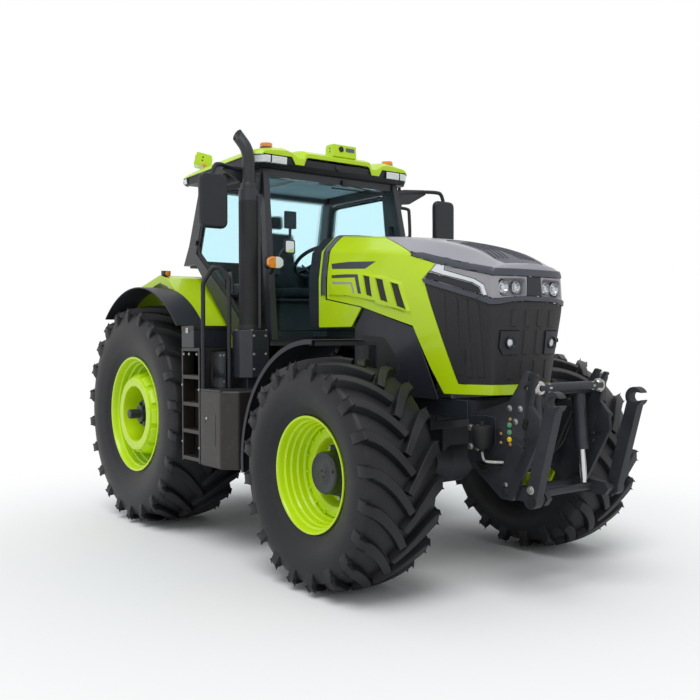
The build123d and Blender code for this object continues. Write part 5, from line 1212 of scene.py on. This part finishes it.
# ---------------------------------------------------------------- tanks, steps and boxes
# Moulded tanks fill both sides between the axles, each with a hinged door. A welded ladder climbs
# past the tank to a platform with a tool box, and a sheet box takes the exhaust on the right.
umber = finish("moulded_tank", (0.0146, 0.0125, 0.0110), 0.38, tone=0.18, grain=0.35, grain_scale=260,
               dust=((0.085, 0.075, 0.066), 0.35), level=0.45)
softened("tanks", 0.018, umber, segments=3)
softened("side_boxes", 0.006, charcoal, "chassis", "charcoal_paint")
softened("ladders", 0.003, umber, "chassis", "charcoal_paint")
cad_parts["handrails"].material_slots[0].material = black_plastic
TREADS = (1.5628, 0.7098, 0.9230, 1.1363, 1.3495)    # heights of the treads' tops
for hand, side in HANDS:
    # the tank's door and its catch, and the lip under the platform
    parts = [slab(outline, "side", side * low, side * high, material, edge, corner)
             for outline, low, high, material, edge, corner in (
                 (oblong(1.334, 0.828, 1.545, 1.069), 1.222, 1.2322, umber, 0.002, 0.012),
                 (oblong(1.350, 0.990, 1.385, 1.045), 1.230, 1.2345, charcoal, 0.002, 0.004),
                 (oblong(1.310, 1.238, 1.620, 1.252), 0.60, 1.232, charcoal, 0.003, 0),
                 # sheet behind the steps and under the platform, and the tool box's lid with its catch
                 (oblong(1.020, 1.252, 1.405, 1.535), 1.060, 1.067, charcoal, 0.002, 0.01),
                 (oblong(0.984, 1.706, 1.196, 1.738), 0.895, 1.229, umber, 0.004, 0),
                 (oblong(1.065, 1.680, 1.105, 1.722), 1.224, 1.2325, zinc, 0.002, 0))]
    parts.append(moved(outward(side, [(0.012, 0.0), (0.012, 0.006), (0.008, 0.008), (0.0, 0.008)], zinc, 20),
                       at(1.412, side * 1.2315, 1.030)))
    for spots, y in (([(1.001, 0.82), (1.282, 0.79), (1.001, 1.27), (1.282, 1.24)], 1.230),
                     ([(1.33, 1.505), (1.385, 1.505), (1.385, 1.30)], 1.0665),
                     ([(1.03, 1.515), (1.12, 1.515), (1.25, 1.515)], 1.2295)):
        parts += screw_heads(spots, side, y, 0.008)
    # cables beside the ladder
    for k in range(3):
        parts.append(rod([(1.306 + 0.010 * k, side * 1.12, 1.50), (1.300 + 0.012 * k, side * 1.14, 1.38),
                          (1.302 + 0.010 * k, side * 1.13, 1.262)], 0.006, rubber_seal, 8, True))
    fitted(joined(f"step_fittings_{hand}", parts), "chassis", "charcoal_paint")
    # treads of pressed plate with rows of raised grips
    grips = []
    for z in TREADS:
        grip = upright([(0.009, 0.0), (0.009, 0.003), (0.006, 0.005), (0.0, 0.005)], (1.035, 1.160 * side, z), umber, 8)
        row = repeated(grip, 8, umber, step=(0.030, 0, 0))
        grips.append(repeated(row, 2, umber, step=(0, 0.042 * side, 0)))
    fitted(joined(f"step_grips_{hand}", grips), "chassis", "charcoal_paint")

# ---------------------------------------------------------------- exhaust
# Steel stack from the treatment box, inside a guard with a plain flat on its inner side, its
# perforations painted as flat dark hexagons for the shade inside them. The bare pipe above it bends outward and is cut
# on the slant.
soot = finish("heat_dark_steel", (0.022, 0.023, 0.027), 0.46, metal=0.2, tone=0.25, tone_scale=6, grain=0.3,
              grain_scale=200)
STACK_X, STACK_Y, BOX_TOP, GUARD_TOP = 1.442, -0.872, 1.700, 2.800
GUARD = GUARD_TOP - BOX_TOP
guard = upright([(0.079, 0.0), (0.079, GUARD - 0.03), (0.074, GUARD - 0.006), (0.052, GUARD), (0.048, GUARD)],
                (STACK_X, STACK_Y, BOX_TOP), soot, 64, 24)
collar = upright([(0.0505, -0.01), (0.062, 0.0), (0.062, 0.035), (0.056, 0.05), (0.049, 0.052)],
                 (STACK_X, STACK_Y, GUARD_TOP - 0.004), soot, 48)
PIPE, BORE, BEND_R, PIPE_SIDES = 0.048, 0.0435, 0.230, 40
up = Vector((0, 0, 1))
bend = Vector((-0.108, -0.062, 0.162)).normalized()
tilt = math.acos(bend.z)
over = Vector((bend.x, bend.y, 0)).normalized()
knee = Vector((STACK_X, STACK_Y, 3.100 - BEND_R * math.tan(tilt / 2)))
path = [(Vector((STACK_X, STACK_Y, GUARD_TOP - 0.02)), up), (knee, up)]
for k in range(1, 9):
    a = tilt * k / 8
    path.append((knee + over * BEND_R * (1 - math.cos(a)) + up * BEND_R * math.sin(a),
                 over * math.sin(a) + up * math.cos(a)))
mouth_way = Vector((0.10, -0.85, 0.45)).normalized()
path.append((path[-1][0] + bend * 0.085, bend))
bm = bmesh.new()
rings = []
for radius, order in ((PIPE, range(len(path))), (BORE, reversed(range(4, len(path))))):
    for k in order:
        middle, way = path[k]
        side_way = way.cross(over).normalized() if abs(way.dot(over)) < 0.999 else up
        other = way.cross(side_way)
        ring = []
        for s in range(PIPE_SIDES):
            a = 2 * math.pi * s / PIPE_SIDES
            p = middle + (side_way * math.cos(a) + other * math.sin(a)) * radius
            if k == len(path) - 1:
                p += bend * (-(p - middle).dot(mouth_way) / bend.dot(mouth_way)) * 0.8
            ring.append(bm.verts.new(at(*p)))
        rings.append(ring)
skinned(bm, rings, around=True, ends=True)
pipe = mesh_object("pipe", bm, soot, 40)
flat = slab([(STACK_X + x, STACK_Y + y) for x, y in ((0.030, 0.060), (0.060, 0.030), (0.088, 0.052), (0.058, 0.084))],
            "plan", BOX_TOP + 0.01, GUARD_TOP - 0.05, charcoal, 0.004)
fitted(joined("exhaust_stack", [guard, collar, pipe, flat]), "chassis", "charcoal_paint", "exhaust")
# two staggered rings of flat dark hexagons, painted shade where the guard's holes would be, repeated up the guard
rings = []
for lift, turn in ((0, 0), (0.013, 180 / 32)):
    bm = bmesh.new()
    bm.faces.new([bm.verts.new((0.0796, 0.006 * math.cos(math.pi / 3 * k), 0.0075 * math.sin(math.pi / 3 * k)))
                  for k in range(6)])
    ring = repeated(mesh_object("hole", bm, rubber_seal, 30), 26, rubber_seal, turn=2 * math.pi / 32, axis=(0, 0, 1))
    rings.append(moved(ring, (0, 0, lift), turn))
holes = moved(repeated(joined("exhaust_guard_painted_holes", rings), 37, rubber_seal, step=(0, 0, 0.026)),
              at(STACK_X, STACK_Y, BOX_TOP + 0.05), 100)
fitted(holes)
box_bolts = [moved(bolt(0.008, 0.006, zinc), at(1.5995, y, z), 90, "Y") for z in (1.655, 1.515, 1.400)
             for y in (-0.925, -0.820)]
box_bolts += [moved(bolt(0.008, 0.006, zinc), at(x, y, 1.6995))
              for x, y in ((1.44, -0.985), (1.58, -0.805), (1.58, -0.930))]
fitted(joined("exhaust_box_bolts", box_bolts), "chassis", "steel")

# ---------------------------------------------------------------- mirrors and corner lamps
# Moulded heads with rounded corners hang from cranked arms on hinges at the front pillars. Below
# them stand the lamp pods, amber outside and clear inside, each with a small close-view mirror.
mirror_face = finish("mirror_glass", (0.55, 0.60, 0.63), 0.06, metal=0.95, tone=0.04, tone_scale=2, grain=0.02,
                     grain_scale=50)


def plates_ahead(side, *plates):
    """Plates drawn from ahead for the left side: outline, rear and front, material, edge and corner."""
    return [slab([(y * side, z) for y, z in outline], "front", *rest) for outline, *rest in plates]


def bars(side, *paths):
    """Bent bars drawn for the left side: points, radius and number of sides."""
    return [rod([(x, y * side, z) for x, y, z in points], radius, black_plastic, sides, True)
            for points, radius, sides in paths]


for hand, side in HANDS:
    arm = (plates_ahead(side,
                        ([(1.074, 2.472), (1.308, 2.472), (1.309, 2.888), (1.073, 2.888)], 1.421, 1.484,
                         black_plastic, 0.022, 0.050),
                        ([(1.088, 2.486), (1.294, 2.486), (1.295, 2.874), (1.087, 2.874)], 1.416, 1.424, mirror_face,
                         0.002, 0.040),
                        ([(0.742, 2.830), (0.742, 2.960), (0.800, 2.972), (1.040, 2.992), (1.060, 2.950),
                          (0.860, 2.845)], 1.338, 1.364, charcoal, 0.005, 0.008),
                        ([(0.712, 2.790), (0.712, 2.960), (0.765, 2.960), (0.765, 2.790)], 1.335, 1.367, charcoal,
                         0.006))
           + bars(side, ([(1.352, 0.690, 2.920), (1.352, 0.940, 2.965), (1.372, 1.035, 2.972), (1.435, 1.120, 2.968),
                          (1.450, 1.180, 2.955), (1.450, 1.196, 2.870)], 0.017, 16))
           + [upright([(0.014, 0.0), (0.014, 0.215), (0.009, 0.222), (0, 0.222)], (1.352, 0.748 * side, 2.765),
                      rubber_seal, 20)])
    fitted(joined(f"mirror_{hand}", arm))
    pod = (plates_ahead(side,
                        (oblong(0.730, 2.165, 0.880, 2.262), 1.655, 1.710, black_plastic, 0.014, 0.042),
                        ([(0.805, 2.170), (0.845, 2.170), (0.874, 2.192), (0.874, 2.235), (0.845, 2.257),
                          (0.805, 2.257)], 1.700, 1.7295, orange, 0.010, 0.008),
                        ([(0.804, 2.170), (0.765, 2.170), (0.736, 2.192), (0.736, 2.235), (0.765, 2.257),
                          (0.804, 2.257)], 1.700, 1.7290, lamp_white, 0.010, 0.008),
                        (oblong(0.610, 2.285, 0.710, 2.400), 1.678, 1.700, black_plastic, 0.004, 0.020),
                        (oblong(0.622, 2.298, 0.698, 2.387), 1.698, 1.7025, mirror_face, 0.001, 0.014))
           + bars(side, ([(1.545, 0.732, 2.150), (1.600, 0.755, 2.165), (1.675, 0.795, 2.195)], 0.014, 14),
                  ([(1.688, 0.760, 2.245), (1.690, 0.745, 2.300), (1.690, 0.700, 2.330)], 0.008, 10)))
    fitted(joined(f"corner_lamp_{hand}", pod))
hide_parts("mirrors")
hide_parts("indicator_lamps")
fitted(rod([(1.405, 0.735, 2.520), (1.430, 0.800, 2.530), (1.436, 0.800, 2.560), (1.425, 0.800, 2.760),
            (1.415, 0.800, 2.795), (1.375, 0.722, 2.800)], 0.015, black_plastic, 12, True, "left_grab_hoop"))

# ---------------------------------------------------------------- inside the cab
# A moulded floor and console, a sprung seat in dark woven cloth with sewn bolsters, the steering
# wheel, a display on the right pillar and a felt headliner, its pale blue partly painted reflection of the sky in the
# glass.
seat_cloth = finish("seat_cloth", (0.040, 0.044, 0.048), 0.85, tone=0.2, tone_scale=14, grain=0.9, grain_scale=380,
                    level=0.2)
# the headliner's light blue-grey is partly the felt's own colour and partly painted reflection of the sky in the glass
felt_and_painted_reflection = finish("felt_liner_and_painted_reflection", (0.50, 0.58, 0.66), 0.9, tone=0.06, tone_scale=5, grain=0.5, grain_scale=300, level=0.2)
cab_plastic = finish("cab_trim", (0.050, 0.055, 0.058), 0.6, tone=0.1, tone_scale=5, grain=0.5, grain_scale=300)
softened("cab_floor", 0.012, cab_plastic)
softened("seat_base", 0.012, cab_plastic)
softened("dashboard", 0.020, cab_plastic, segments=3)
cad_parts["steering_wheel"].material_slots[0].material = black_plastic
CLOTH_STEPS = 20
MOST_SWELL = 0.022


def stuffed(outline, half, shrink, seams=()):
    """A cushion from its side outline: netted, then blown up under its cover between sewn seams."""
    middle = Vector((sum(p[0] for p in outline), sum(p[1] for p in outline))) / len(outline)
    smaller = []
    for u, v in outline:
        inward = (middle - Vector((u, v))).normalized() * shrink * 1.2
        smaller.append((u + inward.x, v + inward.y))
    pad = slab(smaller, "side", -half + shrink, half - shrink, seat_cloth, 0.028)
    net = pad.modifiers.new("net", "REMESH")
    net.mode = "VOXEL"
    net.voxel_size = 0.009
    made_plain(pad)
    pad.data.materials.clear()
    pad.data.materials.append(seat_cloth)
    sewn = [v.index for v in pad.data.vertices if any(abs(abs(v.co.y) - s) < 0.0046 for s in seams)]
    pad.vertex_groups.new(name="sewn").add(sewn, 1.0, "REPLACE")
    start = [v.co.copy() for v in pad.data.vertices]
    cover = pad.modifiers.new("cover", "CLOTH")
    cover.settings.use_pressure = True
    cover.settings.uniform_pressure_force = 4.0
    cover.settings.effector_weights.gravity = 0.0
    cover.settings.vertex_group_mass = "sewn"
    cover.settings.tension_stiffness = cover.settings.compression_stiffness = 12
    cover.collision_settings.use_collision = False
    cover.point_cache.frame_start, cover.point_cache.frame_end = 1, CLOTH_STEPS
    for step in range(1, CLOTH_STEPS + 1):
        scene.frame_set(step)
    shape = bpy.data.meshes.new_from_object(pad.evaluated_get(bpy.context.evaluated_depsgraph_get()))
    for vert, was in zip(shape.vertices, start):
        move = vert.co - was
        if move.length > MOST_SWELL:
            vert.co = was + move.normalized() * MOST_SWELL
    pad.modifiers.clear()
    pad.data = shape
    scene.frame_set(1)
    finer = pad.modifiers.new("finer", "SUBSURF")
    finer.levels = finer.render_levels = 1
    made_plain(pad)
    for face in pad.data.polygons:
        face.use_smooth = True
    return pad


cushion = [(0.440, 1.987), (0.440, 2.088), (0.700, 2.094), (0.900, 2.084), (0.912, 2.030), (0.890, 1.987)]
backrest = [(0.362, 2.080), (0.520, 2.080), (0.500, 2.230), (0.475, 2.440), (0.448, 2.632), (0.352, 2.632)]
headrest = [(0.352, 2.645), (0.428, 2.645), (0.420, 2.796), (0.352, 2.796)]
seat = joined("seat_pads", [stuffed(cushion, 0.240, 0.014, (0.150,)), stuffed(backrest, 0.230, 0.014, (0.140,)),
                            stuffed(headrest, 0.130, 0.010)])
fitted(seat, "chassis", "fabric", "seat_cushions")
# headliner, display, its arm, the sunblind's rail, the instrument hood, a stalk and the console
inside = [slab(oblong(0.30, -0.60, 1.30, 0.60), "plan", 2.988, 2.999, felt_and_painted_reflection, 0.004, 0.06),
          slab(oblong(1.19, -0.385, 1.22, -0.275), "plan", 2.555, 2.700, black_plastic, 0.006),
          rod([(1.205, -0.330, 2.56), (1.210, -0.345, 2.45), (1.225, -0.310, 2.24)], 0.012, black_plastic, 12, True),
          rod([(0.40, -0.20, 2.98), (0.45, -0.22, 2.975), (1.10, -0.22, 2.975), (1.15, -0.20, 2.98)], 0.010, pale_band,
              10, True),
          slab([(-0.13, 2.255), (0.13, 2.255), (0.11, 2.330), (-0.11, 2.330)], "front", 1.330, 1.372, black_plastic,
               0.010, 0.015),
          rod([(1.30, -0.10, 2.10), (1.20, -0.16, 2.22), (1.17, -0.19, 2.26)], 0.007, black_plastic, 10, True),
          slab(oblong(0.50, -0.66, 1.00, -0.42), "plan", 2.00, 2.10, cab_plastic, 0.02)]
for x in (0.86, 0.92, 0.80):
    inside.append(upright([(0.010, 0), (0.008, 0.035), (0.016, 0.045), (0.016, 0.062), (0.010, 0.070), (0, 0.070)],
                          (x, -0.315, 2.228), black_plastic, 16))
fitted(joined("cab_fittings", inside))

# ---------------------------------------------------------------- front linkage
# Profile-cut steel plates bolted to the rails carry two rams, a rocking cross shaft and folding
# hook arms. Zinc bolts, colour-coded hose couplings and an accumulator show on the right plate.
PLATE_IN, PLATE_OUT = 0.300, 0.360     # the cuts' depth, a little over the plates' thickness
HEAD_SLOT = [(3.818, 1.372), (3.838, 1.372), (3.850, 1.386), (3.880, 1.440), (3.846, 1.440), (3.822, 1.402)]
RELIEF = [(3.960, 1.395), (3.884, 1.395), (3.836, 1.230), (3.960, 1.090)]


def circle(x, z, radius, count=20):
    """Outline of a round hole."""
    return [(x + radius * math.cos(2 * math.pi * k / count), z + radius * math.sin(2 * math.pi * k / count))
            for k in range(count)]


plates = mesh_object("front_linkage_plates", clean_copy("front_linkage_frame"))
for side in (1, -1):
    for outline in (HEAD_SLOT, circle(3.800, 1.330, 0.015), RELIEF, circle(3.789, 1.016, 0.010),
                    circle(3.789, 0.968, 0.010)):
        cutter = slab(outline, "side", side * PLATE_IN, side * PLATE_OUT, None, 0)
        hole = plates.modifiers.new("hole", "BOOLEAN")
        hole.operation, hole.object, hole.solver = "DIFFERENCE", cutter, "EXACT"
        made_plain(plates)
        bpy.data.objects.remove(cutter)
plates.data.materials.clear()
plates.data.materials.append(casting)
fitted(edge_rounded(plates, 0.003, 2, 30), "chassis", "charcoal_paint", "front_linkage_frame")
softened("front_lift_barrels", 0.004, charcoal, "chassis", "charcoal_paint")
softened("front_rocker", 0.004, casting, "front_rocker", "charcoal_paint")
for hand, _ in HANDS:
    softened(f"front_link_{hand}", 0.006, casting, f"front_link_{hand}", "charcoal_paint", 3)
chrome = finish("chromed_rod", (0.62, 0.63, 0.64), 0.12, metal=0.95, tone=0.05, tone_scale=10, grain=0.02,
                grain_scale=100)
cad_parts["front_lift_rods"].material_slots[0].material = chrome
green = finish("green_cap", (0.10, 0.30, 0.14), 0.4, tone=0.1)
yellow = finish("yellow_cap", (0.80, 0.50, 0.02), 0.4, tone=0.1)
brass = finish("brass_fitting", (0.55, 0.33, 0.12), 0.35, metal=0.7, tone=0.2, tone_scale=30)
PLATE_FACE, SUNK = 0.348, 0.0005       # the plates' outer face, and how far bolts sit into it
for hand, side in HANDS:
    face = PLATE_FACE - SUNK
    parts = (screw_heads([(3.669, 1.200), (3.755, 1.201), (3.717, 1.120)], side, face, 0.016, height=0.008)
             + screw_heads([(3.642, 0.683)], side, face, 0.024, casting, 0.009)
             + screw_heads([(3.637, 0.727)], side, face, 0.012, height=0.008)
             + screw_heads([(3.802, 1.127), (3.795, 1.100)], side, face, 0.018, rubber_seal, 0.009))
    # bolted foot of the plate, on the rail's side
    parts.append(slab([(3.312, 0.850), (3.330, 1.135), (3.480, 1.145), (3.560, 1.135), (3.560, 0.960), (3.470, 0.842)],
                      "side", side * (PLATE_FACE - 0.002), side * (PLATE_FACE + 0.008), charcoal, 0.003, 0.012))
    parts += screw_heads([(3.345, 1.058), (3.408, 1.060), (3.345, 0.936), (3.408, 0.934)], side, PLATE_FACE + 0.0075,
                         0.018)
    for x, z, size, tint in ((3.677, 1.134, 0.009, brass), (3.671, 1.098, 0.014, green), (3.671, 1.053, 0.014, green),
                             (3.671, 1.009, 0.014, yellow), (3.677, 0.979, 0.009, brass), (3.600, 1.040, 0.008, brass),
                             (3.600, 0.985, 0.008, brass)):
        cap = [(size * 1.25, 0.0), (size * 1.25, 0.004), (size, 0.005), (size, 0.0085), (size * 0.8, 0.0098),
               (0.0, 0.0098)]
        parts.append(moved(outward(side, cap, tint, 20, 30), at(x, side * PLATE_FACE, z)))
    if side < 0:
        # accumulator, its pipe and the hoses under it
        parts.append(upright([(0.0, 0.0), (0.018, 0.0), (0.020, 0.016), (0.050, 0.026), (0.066, 0.060), (0.070, 0.120),
                              (0.070, 0.150), (0.064, 0.162), (0.020, 0.168), (0.018, 0.190), (0, 0.190)],
                             (3.520, -0.432, 0.925), rubber_seal, 36))
        parts.append(rod([(3.520, -0.432, 0.935), (3.520, -0.432, 0.880), (3.560, -0.425, 0.862),
                          (3.620, -0.350, 0.862)], 0.009, zinc, 12, True))
        for k in range(3):
            parts.append(rod([(3.600, -0.352, 0.870 - 0.02 * k), (3.560, -0.385, 0.840),
                              (3.450, -0.370, 0.815 - 0.02 * k), (3.340, -0.320, 0.86)], 0.008, rubber_seal, 10, True))
    for k in range(2):
        parts.append(rod([(3.74, side * 0.20, 1.20), (3.70, side * (0.18 - 0.05 * k), 1.05),
                          (3.68, side * (0.12 - 0.04 * k), 0.92), (3.60, side * 0.08, 0.86)], 0.010, rubber_seal, 10,
                         True))
    fitted(joined(f"front_linkage_fittings_{hand}", parts), "chassis", "steel")
    # pins at the foot of each hook arm
    pins = (screw_heads([(3.905, 0.735)], side, 0.4245, 0.020, zinc)
            + screw_heads([(3.915, 0.665)], side, 0.4245, 0.024, rubber_seal))
    fitted(joined(f"hook_arm_bolts_{hand}", pins), f"front_link_{hand}", "steel")
# top link stowed across the plates' heads, with its ball ends and threaded sleeves
STOWED_X, STOWED_Z = 3.853, 1.330
link = [rod([(STOWED_X, -end, STOWED_Z), (STOWED_X, end, STOWED_Z)], radius, material, sides)
        for end, radius, material, sides in ((0.200, 0.0255, charcoal, 24), (0.262, 0.0165, zinc, 20))]
for side in (1, -1):
    nut = outward(side, [(0.0, 0.198), (0.030, 0.198), (0.030, 0.222), (0.018, 0.224), (0.0, 0.224)], zinc, 6, 20)
    ball = turned_shape([(0.020, -0.022), (0.036, -0.022), (0.044, -0.012), (0.046, 0.0), (0.044, 0.012),
                         (0.036, 0.022), (0.020, 0.022)], zinc, 32, 30, closed=True)
    link += [moved(nut, at(STOWED_X, 0, STOWED_Z)), moved(ball, at(STOWED_X, side * 0.290, STOWED_Z), 90)]
fitted(joined("stowed_top_link", link), "chassis", "steel")

# ---------------------------------------------------------------- rear linkage
# Forged and painted steel: the lift arms on their cross shaft, the lift rods with turnbuckles,
# the lower links with ball ends, and the top link on its pin at the rear housing.
for part in ("rear_lift_arms", "rear_lift_rods", "rear_lower_links", "rear_top_link"):
    softened(part, 0.003, casting, part, "charcoal_paint")

# ---------------------------------------------------------------- size of the finished model
# The box round every shown part of the model, the floor left out.
low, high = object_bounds()
